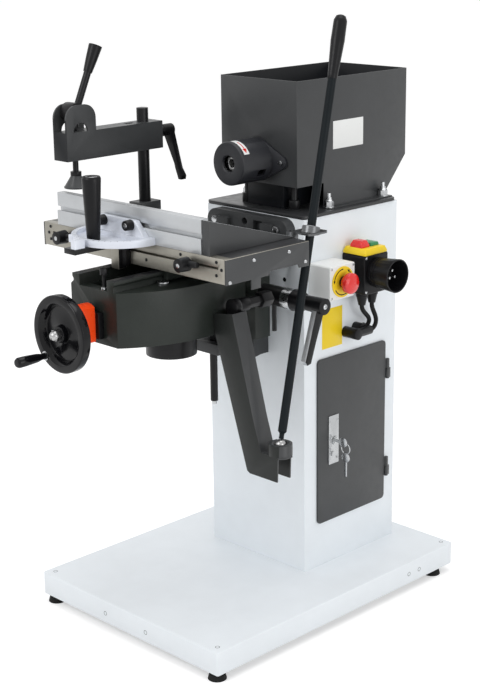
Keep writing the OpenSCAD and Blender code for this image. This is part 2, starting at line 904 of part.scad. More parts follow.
// a lead's route: straight out of the gland, an S on the way down, a quarter turn
// and straight into the elbow's mouth
function lead_route(from, to, r) =
    let (
        steps = 10,
        s_share = 0.75,
        drop = from[2] - to[2] - r - lead_end_l,
        reach = to[1] + r + lead_end_l - from[1],
        smooth = function (t) t * t * (3 - 2 * t),
        side = function (t) from[0] + (to[0] - from[0]) * smooth(t)
    )
    concat(
        [from],
        [for (i = [0 : steps])
            let (t = i / steps)
            [side(t * s_share), from[1] + reach * smooth(t), from[2] - lead_end_l - drop * t]],
        [for (a = [18 : 18 : 90])
            [side(s_share + (1 - s_share) * a / 90),
             to[1] + lead_end_l + r * cos(a), to[2] + r - r * sin(a)]],
        [to]
    );

module leads() {
    gland_z = switch_z - gland_h;
    color("black")
        for (k = [0, 1])
            sweep(lead_route([gland_x, gland_y[1 - k], gland_z],
                             [elbow_x[k], elbow_y[k] + elbow_l[k], elbow_z[k]], lead_turn_r[k]),
                  lead_d / 2, lead_sides);
}

// ---- door ----
module door_hinges() {
    pin_r = 2;
    color("dimgray")
        for (z = hinge_z) {
            rod_z([hinge_x, hinge_y, z], hinge_r, hinge_l / 2);
            rod_z([hinge_x, hinge_y, z], pin_r, hinge_l);
            block([cab_x, hinge_x], [hinge_y, hinge_y + 10], [z, z + hinge_l / 2]);
        }
}

module door() {
    pin_r = 2;
    color("dimgray")
        difference() {
            union() {
                translate([door_x, 0, 0])
                    rotate([90, 0, 90])
                        linear_extrude(door_t) rounded_rect(door_y, door_z, door_r);
                for (z = hinge_z) {
                    rod_z([hinge_x, hinge_y, z + hinge_l / 2 + slide_gap], hinge_r,
                          hinge_l / 2 - slide_gap);
                    block([door_x + 0.7, door_face], [door_y[1] - 4, hinge_y],
                          [z + hinge_l / 2 + slide_gap, z + hinge_l]);
                }
            }
            for (z = hinge_z)
                rod_z([hinge_x, hinge_y, z - cut], pin_r + run_gap, hinge_l + 2 * cut);
            for (z = hinge_z)
                rod_z([hinge_x, hinge_y, z - cut], hinge_r + 2 * slide_gap,
                      hinge_l / 2 + slide_gap + cut);
        }
}

module door_lock() {
    plate_t = 2.5;
    color("silver") {
        block([door_face, door_face + plate_t], [lock_y - 16, lock_y + 13],
              [lock_z - 49, lock_z + 53]);
        rod_x([door_face + plate_t, lock_y - 6, lock_z - 27], 5, 3);
        difference() {
            rod_x([door_face + plate_t, lock_y, lock_z], 9, 4);
            rod_x([door_face + plate_t - cut, lock_y, lock_z], 6 + run_gap, 4 + 2 * cut);
        }
    }
}

module door_key() {
    x = door_face + 2.5;
    bow_r = 10;
    bow_x = x + 5 + key_reach;
    ring_r = 11;
    wire_r = 1;
    color("silver") {
        rod_x([x, lock_y, lock_z], 6, 5);
        block([x + 5, bow_x], [lock_y - 1, lock_y + 1], [lock_z - 3, lock_z + 3]);
        rod_y([bow_x, lock_y - 1, lock_z], bow_r, 2);
        translate([bow_x + bow_r - 3, lock_y, lock_z - ring_r])
            rotate([90, 0, 0])
                rotate_extrude() translate([ring_r, 0]) circle(wire_r, $fn = 16);
        rod_y([bow_x + bow_r - 3, lock_y - 1, lock_z - 2 * ring_r - 8], bow_r, 2);
        block([bow_x + bow_r - 6, bow_x + bow_r], [lock_y - 1, lock_y + 1],
              [lock_z - 2 * ring_r - 48, lock_z - 2 * ring_r - 14]);
    }
}

// ---- knee ----
module knee_plan() {
    intersection() {
        translate([-bow_x, bow_y]) circle(knee_bow_r);
        translate([bow_x, bow_y]) circle(knee_bow_r);
        translate([-knee_bow_r, knee_y0]) square([2 * knee_bow_r, knee_l]);
    }
}

module knee() {
    pocket_y = [screw_y - bevel_r - 24, screw_y + 38];
    color("darkslategray")
        difference() {
            union() {
                translate([0, 0, knee_z0]) linear_extrude(knee_h) knee_plan();
                both_sides()
                    slab_y([knee_y0, rail_y1], [
                        [rail_x - rail_w / 2, knee_z1 - cut], [rail_x - rail_w / 2, rail_z1],
                        [rail_x + rail_w / 2, rail_z1], [rail_x + rail_w / 2, rail_z1 - 6],
                        [rail_x + rail_w / 2 - rail_undercut, rail_z1 - 10],
                        [rail_x + rail_w / 2 - rail_undercut, knee_z1 - cut]
                    ]);
                block([-saddle_x, saddle_x], [knee_y1 - 6, saddle_y], [saddle_z0, knee_z1]);
                block([bracket_x - 22, bracket_x], [bracket_y[0] + 2, bracket_y[1] - 2],
                      [knee_z0 + 8, knee_z0 + 44]);
                rod_x([30, lock_y0, lock_z0], 21, lock_x[0] - 30);
            }
            translate([0, 0, saddle_z0 - cut])
                linear_extrude(knee_z1 - saddle_z0 + 2 * cut) {
                    way_plan(slide_gap);
                    translate([-way_w / 2 + way_undercut - slide_gap, casting_y - 16])
                        square([way_w - 2 * way_undercut + 2 * slide_gap, 20]);
                }
            block([-rail_x + rail_w / 2 + 4, rail_x - rail_w / 2 - 4], [knee_y0 + 22, knee_y1 - 110],
                  [knee_z1 - 30, knee_z1 + cut]);
            block([-gear_pocket_x, gear_pocket_x], pocket_y, [knee_z0 - cut, knee_z1 - 16]);
            rod_y([0, knee_y0 - cut, drive_z], drive_d / 2 + run_gap, pocket_y[0] - knee_y0 + 2 * cut);
        }
}

module knee_fittings() {
    cap = [67, knee_y0 + 107];
    cap_r = 11;
    pin = [24, knee_y0 + 6];
    pin_h = 28;
    rod_at = [bolt_at[0], bracket_y[1], bolt_at[1]];
    collar_l = 24;
    hex_l = 32;
    nut_l = 26;
    color("black") {
        rod_z([0, knee_y0 + 183, knee_z0 - boss_h], boss_d / 2, boss_h);
        rod_z([pin[0], pin[1], knee_z1], 3, pin_h);
        rod_z([pin[0], pin[1], knee_z1 + pin_h], 7, 12);
        rod_z([pin[0], pin[1], knee_z1], 5.5, 5);
        rod_z([cap[0], cap[1], knee_z1], cap_r, 4);
        rod_y([rod_at[0], bracket_y[1] - bracket_t - 12, rod_at[2]], 15, 12);
        rod_y(rod_at, 13, collar_l);
        translate(rod_at)
            rotate([-90, 0, 0]) {
                translate([0, 0, collar_l]) cylinder(r = 10.5, h = hex_l, $fn = 6);
                translate([0, 0, collar_l + hex_l]) cylinder(r = 15.5, h = nut_l, $fn = 6);
            }
    }
}

module swing_bracket() {
    x0 = bracket_x;
    top = knee_z0 + 47;
    ear_r = 14;
    outline = [
        [x0, knee_z0 + 12], [x0 + 11, knee_z0 - 23], [x0 + 81, bracket_z + 4],
        [x0 + 88, bracket_z], [x0 + 157, bracket_z], [x0 + 159, foot_z],
        [x0 + 117, foot_z], [x0 + 98, foot_z + 59], [x0 + 48, top], [x0, top - 7]
    ];
    web = [
        [x0 + 48, top], [x0 + 98, foot_z + 59], [x0 + 117, foot_z],
        [x0 + 117 - bracket_t, foot_z - 4], [x0 + 98 - bracket_t, foot_z + 57],
        [x0 + 48 - bracket_t, top - 1]
    ];
    socket_h = 22;
    socket_z = foot_z - 1 + socket_h;
    color("dimgray")
        difference() {
            union() {
                slab_y([bracket_y[0], bracket_y[0] + bracket_t], outline);
                slab_y([bracket_y[1] - bracket_t, bracket_y[1]], outline);
                slab_y(bracket_y, web);
                rod_y([bolt_at[0], bracket_y[1] - bracket_t, bolt_at[1]], ear_r, bracket_t);
                translate([0, 0, foot_z - bracket_t])
                    linear_extrude(bracket_t)
                        polygon([
                            [x0 + 112, bracket_y[0]], [x0 + 160, bracket_y[0]],
                            [x0 + 169, bracket_y[0] + 10], [x0 + 169, bracket_y[1] - 8],
                            [x0 + 160, bracket_y[1]], [x0 + 112, bracket_y[1]]
                        ]);
                rod_z([ball[0], ball[1], foot_z - 1], socket_r, socket_h);
            }
            rod_z([ball[0], ball[1], ball[2] - ball_r - slide_gap], ball_r + slide_gap,
                  socket_h);
            rod_z([ball[0], ball[1], socket_z - 5], ball_r + slide_gap, 5 + cut, ball_r + 5);
        }
}

module lock_sleeve() {
    rod_l = 64;
    color("black") {
        rod_x([lock_x[0], lock_y0, lock_z0], 19, lock_x[1] - lock_x[0]);
        rod_z([lock_x[0] + 15, lock_y0 + 12, lock_z0 - 10 - rod_l], 4.5, rod_l);
    }
    color("silver")
        rod_x([lock_x[1], lock_y0, lock_z0], 20, lock_x[2] - lock_x[1]);
}

module lock_lever() {
    color("black") {
        rod_x([lock_x[2] + slide_gap, lock_y0, lock_z0], 21, lock_x[3] - lock_x[2] - slide_gap, 18);
        rod_x([lock_x[3], lock_y0, lock_z0], 14, lock_x[4] - lock_x[3], 15.5);
        slab_x([lock_x[4] - 21, lock_x[4] - 9], [
            [lock_y0 - 13, lock_z0 - 6], [lock_y0 - 31, lock_z0 - 62],
            [lock_y0 - 43, lock_z0 - 98], [lock_y0 - 38, lock_z0 - 106],
            [lock_y0 - 28, lock_z0 - 104], [lock_y0 - 13, lock_z0 - 62],
            [lock_y0 + 9, lock_z0 - 8]
        ]);
    }
}

module position_counter() {
    x = 17;
    z = [knee_z0 + 7, knee_z0 + 76];
    mount_x = 26;
    mount_z = [knee_z0 + 12, knee_z0 + 60];
    color("orangered")
        difference() {
            union() {
                block([-x, x], [counter_y, knee_y0 - counter_mount_t], [z[0], z[1] - 8]);
                intersection() {
                    rod_y([0, counter_y, z[1] - 28], 28, knee_y0 - counter_mount_t - counter_y);
                    block([-x, x], [counter_y, knee_y0 - counter_mount_t], [z[1] - 9, z[1]]);
                }
            }
            rod_y([0, counter_y - cut, drive_z], drive_d / 2 + run_gap, 80);
        }
    color("black")
        difference() {
            block([-mount_x, mount_x], [knee_y0 - counter_mount_t, knee_y0], mount_z);
            rod_y([0, counter_y - cut, drive_z], drive_d / 2 + run_gap, 80);
        }
}

// ---- height drive ----
// a bevel gear: cone with its tip towards the shafts' crossing, teeth cut as slots
module bevel_gear() {
    difference() {
        translate([0, 0, -bevel_r])
            cylinder(r1 = bevel_r - bevel_gap, r2 = bevel_r - bevel_in - bevel_gap, h = bevel_in);
        for (k = [0 : bevel_teeth - 1])
            rotate([0, 0, 360 * k / bevel_teeth])
                translate([bevel_r - bevel_in / 2, 0, -bevel_r + bevel_in / 2])
                    rotate([0, -45, 0])
                        cube([3, 3, 3 * bevel_in], center = true);
    }
}

module lead_screw() {
    color("black") {
        rod_z([0, screw_y, nut_z[0] - screw_drop], screw_d / 2,
              drive_z - bevel_r - nut_z[0] + screw_drop);
        rod_z([0, screw_y, nut_z[0] - screw_drop - screw_end_l], screw_d / 2 - 3, screw_end_l);
    }
    color("silver") translate([0, screw_y, drive_z]) bevel_gear();
}

module drive_shaft() {
    color("silver") {
        rod_y([0, wheel_y - 2, drive_z], drive_d / 2, screw_y - bevel_r + bevel_in - wheel_y + 2);
        translate([0, screw_y, drive_z]) rotate([-90, 0, 0]) bevel_gear();
        translate([0, wheel_y - 9, drive_z])
            rotate([-90, 0, 0]) cylinder(r = 11, h = 10, $fn = 6);
        translate([0, wheel_y - 9, drive_z])
            rotate([90, 0, 0])
                rotate_extrude()
                    intersection() {
                        translate([0, -1]) circle(9);
                        square([20, 20]);
                    }
    }
}

module handwheel() {
    r = wheel_d / 2;
    bore = drive_d / 2;
    color("black")
        difference() {
            translate([0, wheel_y + wheel_t, drive_z])
                rotate([90, 0, 0])
                    rotate_extrude()
                        polygon([
                            [bore, 0], [bore, wheel_t - 1], [bore + 8, wheel_t - 1],
                            [bore + 10, 7], [r - 22, 4], [r - 18, wheel_t - 5],
                            [r - 14, wheel_t], [r - 2, wheel_t], [r, wheel_t - 2],
                            [r, 2], [r - 2, 0], [r - 24, 0], [bore + 12, 0]
                        ]);
            rod_y([-39, wheel_y - cut, drive_z - 46], 3 + run_gap, wheel_t + 2 * cut);
        }
}

module wheel_handle() {
    color("black") {
        translate([-39, wheel_y - slide_gap, drive_z - 46])
            rotate([90, 0, 0])
                rotate_extrude()
                    polygon([
                        [0, 0], [6, 0], [6, 4], [5.5, 8], [8, 20], [9.5, wheel_handle_l - 20],
                        [9.5, wheel_handle_l - 4], [7, wheel_handle_l], [0, wheel_handle_l]
                    ]);
        rod_y([-39, wheel_y - 2, drive_z - 46], 3, wheel_t);
    }
}

// ---- carriage and table ----
module carriage() {
    skirt = [rail_x + rail_w / 2 + slide_gap, rail_x + rail_w / 2 + 12];
    color("dimgray") {
        block([-carriage_x, carriage_x], carriage_y, [carriage_z0, carriage_z1]);
        both_sides()
            block(skirt, carriage_y, [knee_z1 + 5, carriage_z0 + 1]);
        for (y = guide_y)
            block([-carriage_x, carriage_x], [y, y + guide_w], [carriage_z1 - 1, carriage_z1 + guide_h]);
    }
}

module mitre_slot(y) {
    block([gauge_x - mitre_w / 2 - slide_gap, gauge_x + mitre_w / 2 + slide_gap], y,
          [mitre_z0 - slide_gap, table_z1 + cut]);
}

module table_top() {
    g = slide_gap;
    color("dimgray")
        difference() {
            block([-table_x, table_x], [bar_y1, table_y1], [table_z0, table_z1]);
            for (y = guide_y)
                block([-table_x - cut, table_x + cut], [y - g, y + guide_w + g],
                      [table_z0 - cut, table_z0 + guide_h]);
            mitre_slot([bar_y1 - cut, table_y1 + cut]);
        }
}

module front_bar() {
    color("lightgray")
        difference() {
            block([-table_x, table_x], [bar_y0, bar_y1], [bar_z0, table_z1]);
            block(slot_x, [bar_y0 - cut, bar_y0 + slot_depth], slot_z);
            mitre_slot([bar_y0 - cut, bar_y1 + cut]);
        }
}

module end_plates() {
    notch = [bar_y0 + 105, table_y1 - 25];
    notch_z = end_z0 + 7;
    tab = [bar_y0 + 62, bar_y0 + 85];
    tab_z = end_z0 - 18;
    gusset_x = fence_x0 + fence_l + 2.5;
    color("dimgray") {
        both_sides()
            slab_x([table_x, table_x + end_t], [
                [bar_y0, table_z1], [bar_y0, end_z0], [tab[0], end_z0], [tab[0], tab_z],
                [tab[1], tab_z], [tab[1], end_z0], [notch[0], end_z0],
                [notch[0] + 3, notch_z], [notch[1] - 3, notch_z], [notch[1], end_z0],
                [table_y1, end_z0], [table_y1, table_z1]
            ]);
        slab_x([gusset_x, gusset_x + gusset_t], [
            [bar_y0, table_z1], [table_y1, table_z1], [table_y1, table_z1 + 2],
            [bar_y0, table_z1 + gusset_h]
        ]);
    }
}

module table_screws() {
    front = [
        [-228.4, -7], [-228.5, -31], [-233.7, -19], [46.6, -30.3],
        [137.5, -6.5], [227.6, -7], [227.3, -30.3], [240, -18.8]
    ];
    end = [[9.5, -41.3], [68, -11.3], [156, -11.3], [198, -36]];
    color("black")
        for (p = front)
            rod_y([p[0], bar_y0 - 1, table_z1 + p[1]], 3, 1);
    color("silver")
        both_sides()
            for (p = end)
                rod_x([table_x + end_t, bar_y0 + p[0], table_z1 + p[1]], 3.8, 2.5, 2.4);
}

module table_blocks() {
    guide_x = [gauge_x - 11, gauge_x + 10];
    block_x = 18;
    block_y = 26;
    color("dimgray")
        difference() {
            block([post[0] - block_x, post[0] + block_x], [post[1] - block_y, post[1] + block_y],
                  [table_z1, post_block_z1]);
            rod_z([post[0], post[1], table_z1 + 4], post_d / 2 + run_gap, 30);
        }
    color("gainsboro")
        block(guide_x, [bar_y0 - 19, bar_y0], [bar_z0 - 9.5, mitre_z0 - 2 * slide_gap]);
    color("black")
        block([guide_x[1], guide_x[1] + 12], [bar_y0 - 12, bar_y0],
              [bar_z0 - 2, mitre_z0 - 2 * slide_gap]);
}

// a stop that slides in the front bar's slot, with its knob and wing
module bar_stop(x) {
    z = (slot_z[0] + slot_z[1]) / 2;
    h = (slot_z[1] - slot_z[0]) / 2 - slide_gap;
    color("black") {
        block([x - 10, x + 10], [bar_y0 - slide_gap - 2, bar_y0 + slot_depth - slide_gap],
              [z - h, z + h]);
        rod_y([x, bar_y0 - 10, z], 6, 9);
        rod_y([x, bar_y0 - 10 - stop_knob_l, z], stop_knob_r - 1, stop_knob_l, stop_knob_r);
        along([x, bar_y0 - 13, z], [1, -0.1, 0.12]) cylinder(r1 = 7, r2 = 5, h = 32);
    }
    color("silver") rod_y([x, bar_y0 - 11 - stop_knob_l, z], 4, 2);
}

module bar_stop_left() {
    bar_stop(stop_x[0]);
}

module bar_stop_right() {
    bar_stop(stop_x[1]);
}

module lever_bush() {
    plate_x0 = ring[0] - 27;
    plate_x1 = ring[0] + 23;
    plate_t = 3.5;
    collar_r = lever_d / 2 + ring_play + 3.5;
    sides = 12;
    color("silver")
        difference() {
            union() {
                block([plate_x0, plate_x1], [ring[1] - 25, ring[1] + 24],
                      [ring_plate_z, ring_plate_z + plate_t]);
                block([plate_x0 - 4, plate_x0 + 7], [table_y1, ring[1] - 12],
                      [table_z1 - 16, ring_plate_z + plate_t]);
                along(ring - 17 * lever_dir, lever_dir) cylinder(r = collar_r, h = 27, $fn = sides);
            }
            along(ring - 40 * lever_dir, lever_dir)
                cylinder(r = lever_d / 2 + ring_play, h = 80, $fn = sides);
        }
}

// ---- fence and gauge ----
module fence() {
    y = [bar_y0, bar_y0 + fence_t];
    g = fence_groove_z;
    color("silver")
        slab_x([fence_x0, fence_x0 + fence_l], [
            [y[0], fence_z0], [y[1], fence_z0], [y[1], fence_z0 + fence_h],
            [y[0] + 1.5, fence_z0 + fence_h], [y[0] + 1.5, g + 4], [y[0] + 4, g + 4],
            [y[0] + 4, g + 7], [y[0] + 8, g + 7], [y[0] + 8, g - 7], [y[0] + 4, g - 7],
            [y[0] + 4, g - 4], [y[0], g - 4]
        ]);
}

module gauge() {
    wedge = moon_r;
    half_slot = 44;
    color("whitesmoke")
        difference() {
            union() {
                intersection() {
                    rod_z([gauge_x, moon_y, moon_z0], moon_r, moon_t);
                    block([gauge_x - moon_r, gauge_x + moon_r], [moon_y - moon_r, bar_y0],
                          [moon_z0, moon_z1]);
                }
                slab_y([bar_y0 - flange_t, bar_y0], [
                    [gauge_x - 87, moon_z0], [gauge_x + 84, moon_z0],
                    [gauge_x + 48, fence_groove_z + 8], [gauge_x - 50, fence_groove_z + 8]
                ]);
                rod_z([gauge_x - 44, pivot_y - 70, moon_z0], 8, moon_t);
            }
            // the shallow pocket inside the rim, the arc slot and the pivot's bore
            intersection() {
                rod_z([gauge_x, moon_y, moon_floor], moon_r - 9, 10);
                block([gauge_x - moon_r, gauge_x + moon_r],
                      [moon_y - moon_r, bar_y0 - flange_t - 6], [moon_floor, moon_z1 + cut]);
            }
            intersection() {
                difference() {
                    rod_z([gauge_x, pivot_y, moon_z0 - cut], gauge_slot_r + gauge_slot_w / 2, 30);
                    rod_z([gauge_x, pivot_y, moon_z0 - 2 * cut], gauge_slot_r - gauge_slot_w / 2, 40);
                }
                translate([0, 0, moon_z0 - cut])
                    linear_extrude(moon_t + 2 * cut)
                        polygon([
                            [gauge_x, pivot_y],
                            [gauge_x - wedge * sin(half_slot), pivot_y - wedge * cos(half_slot)],
                            [gauge_x, pivot_y - wedge * 1.3],
                            [gauge_x + wedge * sin(half_slot), pivot_y - wedge * cos(half_slot)]
                        ]);
            }
            rod_z([gauge_x, pivot_y, moon_z0 - cut], pivot_r + run_gap, pivot_h + cut);
            for (x = gauge_knob_x)
                rod_y([x, bar_y0 - flange_t - cut, fence_groove_z], 3 + run_gap, flange_t + 2 * cut);
        }
}

module gauge_knobs() {
    color("black")
        for (x = gauge_knob_x) {
            rod_y([x, bar_y0 - flange_t - 14, fence_groove_z], gauge_knob_r - 1, 14, gauge_knob_r);
            rod_y([x, bar_y0 - flange_t - cut, fence_groove_z], 3, flange_t + 7);
            block([x - 6, x + 6], [bar_y0 + 4.3, bar_y0 + 7.5],
                  [fence_groove_z - 5, fence_groove_z + 5]);
        }
}

module mitre_bar() {
    color("silver")
        difference() {
            union() {
                block([gauge_x - mitre_w / 2, gauge_x + mitre_w / 2],
                      [mitre_y0, bar_y0 + 140], [mitre_z0, mitre_z1]);
                rod_z([gauge_x, pivot_y, mitre_z1 - cut], pivot_r, pivot_h);
                block([gauge_x + 2, gauge_x + 14], [mitre_y0 + 2, moon_y - moon_r - 6],
                      [mitre_z1 - cut, moon_z1 + 3]);
            }
            rod_z([gauge_stud[0], gauge_stud[1], mitre_z0 - cut], gauge_stud_r + run_gap, 30);
        }
}

module gauge_handle() {
    foot_r = 12;
    top_r = 17.4;
    color("black") {
        rod_z([gauge_stud[0], gauge_stud[1], mitre_z0 + 1], gauge_stud_r, moon_z1 - mitre_z0);
        translate([gauge_stud[0], gauge_stud[1], moon_floor + slide_gap])
            rotate_extrude()
                polygon([
                    [0, 0], [foot_r, 0], [top_r, gauge_handle_l - 4],
                    [top_r - 1.5, gauge_handle_l], [0, gauge_handle_l]
                ]);
    }
}

// ---- hold-down ----
module hold_post() {
    color("dimgray")
        rod_z([post[0], post[1], table_z1 + 4 + slide_gap], post_d / 2, post_h - 4 - slide_gap);
}

module cheek_side() {
    w = cheek_y[1] - cheek_y[0];
    difference() {
        union() {
            translate([cheek_y[0], arm_z1 - 1]) square([w, cheek_h + 1 - cheek_r]);
            translate([cheek_y[0] + cheek_r, arm_z1 - 1])
                square([w - 2 * cheek_r, cheek_h + 1]);
            for (y = [cheek_y[0] + cheek_r, cheek_y[1] - cheek_r])
                translate([y, arm_z1 + cheek_h - cheek_r]) circle(cheek_r);
        }
        translate([plunger_y, arm_z1]) circle(17);
        translate([cheek_y[0], arm_z1 - 20]) square([w, 20]);
    }
}

module hold_arm() {
    x = [post[0] - arm_w / 2, post[0] + arm_w / 2];
    w = arm_wall;
    color("dimgray")
        difference() {
            union() {
                difference() {
                    block(x, [arm_y0, arm_y1], [arm_z0, arm_z1]);
                    block([x[0] + w, x[1] - w], [arm_y0 + w, arm_y1 - w],
                          [arm_z0 + w, arm_z1 - w]);
                }
                rod_z([post[0], post[1], arm_z0 + 1], post_d / 2 + 5, arm_h - 2);
                rod_z([post[0], plunger_y, arm_z0 + 1], plunger_d / 2 + 5, arm_h - 2);
                rod_y([post[0], post[1], clamp_z], 9, arm_y1 - post[1] - 1);
                for (cx = [x[0], x[1] - cheek_t])
                    translate([cx, 0, 0])
                        rotate([90, 0, 90]) linear_extrude(cheek_t) cheek_side();
                rod_x([x[0], plunger_y, cam_pin_z], cam_pin_r, arm_w);
            }
            rod_z([post[0], post[1], arm_z0 - cut], post_d / 2 + run_gap, arm_h + 2 * cut);
            rod_z([post[0], plunger_y, arm_z0 - cut], plunger_d / 2 + run_gap, arm_h + 2 * cut);
            rod_y([post[0], post[1] + post_d / 2 - 4, clamp_z], 4 + run_gap, 60);
            block([post[0] - 5, post[0] + 5], [post[1] - 46, post[1] - 24], [arm_z1 - w - cut, arm_z1 + cut]);
        }
}

module cam_lever() {
    mid = [post[0], plunger_y, cam_pin_z];
    dir = [0, 0.4145, 0.91];
    foot = mid + [0, 4.8, 0];
    color("dimgray")
        difference() {
            union() {
                rod_x(mid + [-cam_w / 2, -cam_off, cam_off], cam_r, cam_w);
                along(foot + 10 * dir, dir) cylinder(r = 7, h = 70);
                along(foot + 80 * dir, dir) cylinder(r1 = 8.5, r2 = 11, h = 25);
                along(foot + 105 * dir, dir) cylinder(r1 = 11, r2 = 13, h = 27);
            }
            rod_x(mid + [-cam_w / 2 - cut, 0, 0], cam_pin_r + run_gap, cam_w + 2 * cut);
        }
}

module plunger() {
    z2 = pad_z0 + 23;
    color("black") {
        rod_z([post[0], plunger_y, z2], plunger_d / 2, plunger_top - z2);
        rod_z([post[0], plunger_y, plunger_head_z], 9, plunger_top - plunger_head_z);
        rod_z([post[0], plunger_y, z2], 10.5, 8);
        rod_z([post[0], plunger_y, pad_z0 + 3], pad_d / 2 - 1, z2 - pad_z0 - 3, 10);
        rod_z([post[0], plunger_y, pad_z0], pad_d / 2, 3);
    }
}

module arm_clamp() {
    y = arm_y1 + slide_gap;
    color("black") {
        rod_y([post[0], post[1] + post_d / 2 + 1, clamp_z], 4, y + 4 - post[1] - post_d / 2);
        rod_y([post[0], y, clamp_z], 9, 14, 11);
        rod_y([post[0], y + 14, clamp_z], 12, 26);
        slab_y([y + 26, y + 38], [
            [post[0] - 11, clamp_z], [post[0] + 11, clamp_z], [post[0] + 34, clamp_z - clamp_l + 22],
            [post[0] + 44, clamp_z - clamp_l + 8], [post[0] + 42, clamp_z - clamp_l],
            [post[0] + 33, clamp_z - clamp_l], [post[0] + 24, clamp_z - clamp_l + 22],
            [post[0] + 22, clamp_z - clamp_l + 30]
        ]);
    }
}

// ---- joystick lever ----
module lever_ball() {
    color("silver") translate(ball) sphere(ball_r);
}

module lever() {
    neck_r = 4.5;
    neck_l = 14;
    color("black")
        along(ball, lever_dir)
            rotate_extrude()
                polygon([
                    [0, ball_r + slide_gap], [neck_r, ball_r + slide_gap],
                    [neck_r, ball_r + neck_l - 4], [lever_d / 2, ball_r + neck_l],
                    [lever_d / 2, lever_l - grip_l], [lever_d / 2 + 1, lever_l - grip_l],
                    [grip_d / 2, lever_l - grip_l * 0.4], [grip_d / 2 - 0.5, lever_l - 10],
                    [grip_d / 2 - 4, lever_l - 2], [grip_d / 2 - 8, lever_l], [0, lever_l]
                ]);
}

placed() base_tray();
placed() base_feet();
placed() cabinet();
placed() top_gasket();
placed() top_plate();
placed() head_bolts();
placed() column_casting();
placed() motor_body();
placed() motor_bearings();
placed() motor_cover();
placed() cover_panel();
placed() chuck_guard();
placed() motor_shaft();
placed() chuck();
placed() stop_box();
placed() stop_legend();
placed() stop_button();
placed() switch_box();
placed() switch_base();
placed() off_button();
placed() start_button();
placed() power_inlet();
placed() cable_glands();
placed() leads();
placed() door_hinges();
placed() door();
placed() door_lock();
placed() door_key();
placed() screw_nut();
placed() knee();
placed() knee_fittings();
placed() swing_bracket();
placed() lock_sleeve();
placed() lock_lever();
placed() position_counter();
placed() lead_screw();
placed() drive_shaft();
placed() handwheel();
placed() wheel_handle();
placed() carriage();
placed() table_top();
placed() front_bar();
placed() end_plates();
placed() table_screws();
placed() table_blocks();
placed() bar_stop_left();
placed() bar_stop_right();
placed() lever_bush();
placed() gauge();
placed() fence();
placed() gauge_knobs();
placed() mitre_bar();
placed() gauge_handle();
placed() hold_post();
placed() hold_arm();
placed() cam_lever();
placed() plunger();
placed() arm_clamp();
placed() lever_ball();
placed() lever();
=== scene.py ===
"""Looks of a floor-standing slot mortiser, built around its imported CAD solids.

Lengths in the classes are millimetres in the machine's own frame: X = 0 is the chuck axis,
Y grows from the operator towards the cabinet and Z = 0 is the floor.
"""

import logging
import math
from collections.abc import Sequence
from dataclasses import dataclass
from enum import Enum

import bmesh
import bpy
from mathutils import Matrix, Vector


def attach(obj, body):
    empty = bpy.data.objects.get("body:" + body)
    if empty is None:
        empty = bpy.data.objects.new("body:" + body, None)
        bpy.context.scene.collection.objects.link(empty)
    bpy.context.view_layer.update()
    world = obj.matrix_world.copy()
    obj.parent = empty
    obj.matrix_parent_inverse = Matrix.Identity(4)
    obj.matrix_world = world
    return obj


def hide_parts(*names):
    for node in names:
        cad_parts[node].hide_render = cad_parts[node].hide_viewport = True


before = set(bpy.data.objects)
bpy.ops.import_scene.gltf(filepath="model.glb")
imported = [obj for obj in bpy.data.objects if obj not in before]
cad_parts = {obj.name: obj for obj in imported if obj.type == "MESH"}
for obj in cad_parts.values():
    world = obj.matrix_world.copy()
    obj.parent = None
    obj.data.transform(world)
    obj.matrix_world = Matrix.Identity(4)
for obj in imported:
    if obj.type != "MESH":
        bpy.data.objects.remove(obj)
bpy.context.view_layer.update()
LOG = logging.getLogger("mortiser")
Span = tuple[float, float]
Point = tuple[float, float, float]
Colour = tuple[float, float, float]
Corners = tuple[Point, Point]
Profile = tuple[Span, ...]

# Frames: metres in a millimetre, and the machine's origin in the part's frame, in millimetres.
MM = 0.001
MACHINE_AT = Vector((-18.0, -8.0, 0.0))
RIGHT: Point = (1, 0, 0)
FRONT: Point = (0, -1, 0)
BACK: Point = (0, 1, 0)
UP: Point = (0, 0, 1)

# Meshes: the weld's distance in metres, then the limits that decide on edges and on shading.
WELD = 2e-6
DISSOLVE_ANGLE = math.radians(0.6)
LEVEL_ANGLE = math.radians(0.5)
EDGE_ANGLE = math.radians(34)
SHARP_ANGLE = math.radians(32)
PARALLEL = 0.999
FACING_LIMIT = 0.8
FLAT_SIDES = 5
FIRST_CORNER: Point = (-9999.0, -9999.0, -9999.0)
LAST_CORNER: Point = (9999.0, 9999.0, 9999.0)

# Shapes: steps round a hole, and a screw head as shares of its height and its radius.
HOLE_STEPS = 32
PAN_PROFILE: Profile = ((0, 1), (0.35, 1), (0.75, 0.86), (1, 0.6), (1, 0.45), (0.4, 0.4), (0.4, 0))

# Looks that every finish shares.
BUMP_STRENGTH = 0.6
ROUGHNESS_SPREAD = 0.24


def at(x: float, y: float, z: float) -> Vector:
    """Turns millimetres in the machine's frame into metres in the part's frame."""
    return (Vector((x, y, z)) + MACHINE_AT) * MM


# ---------------------------------------------------------------- finishes


class Skin(Enum):
    """The kinds of surface relief, each with a node group of its own."""

    PAINT = "orange_peel"
    CASTING = "cast_skin"
    DRAWN = "drawn_lines"
    MOULDED = "moulded_grain"


@dataclass(frozen=True)
class Finish:
    """One finish of the machine and how it is built from the shared groups."""

    slot: str
    colour: Colour
    roughness: float
    skin: Skin = Skin.PAINT
    metallic: float = 0.0
    coat: float = 0.0
    specular: float = 0.5
    grain: float = 500.0
    relief: float = 0.05
    tone: float = 0.06
    stretch: Point = (1.0, 1.0, 1.0)


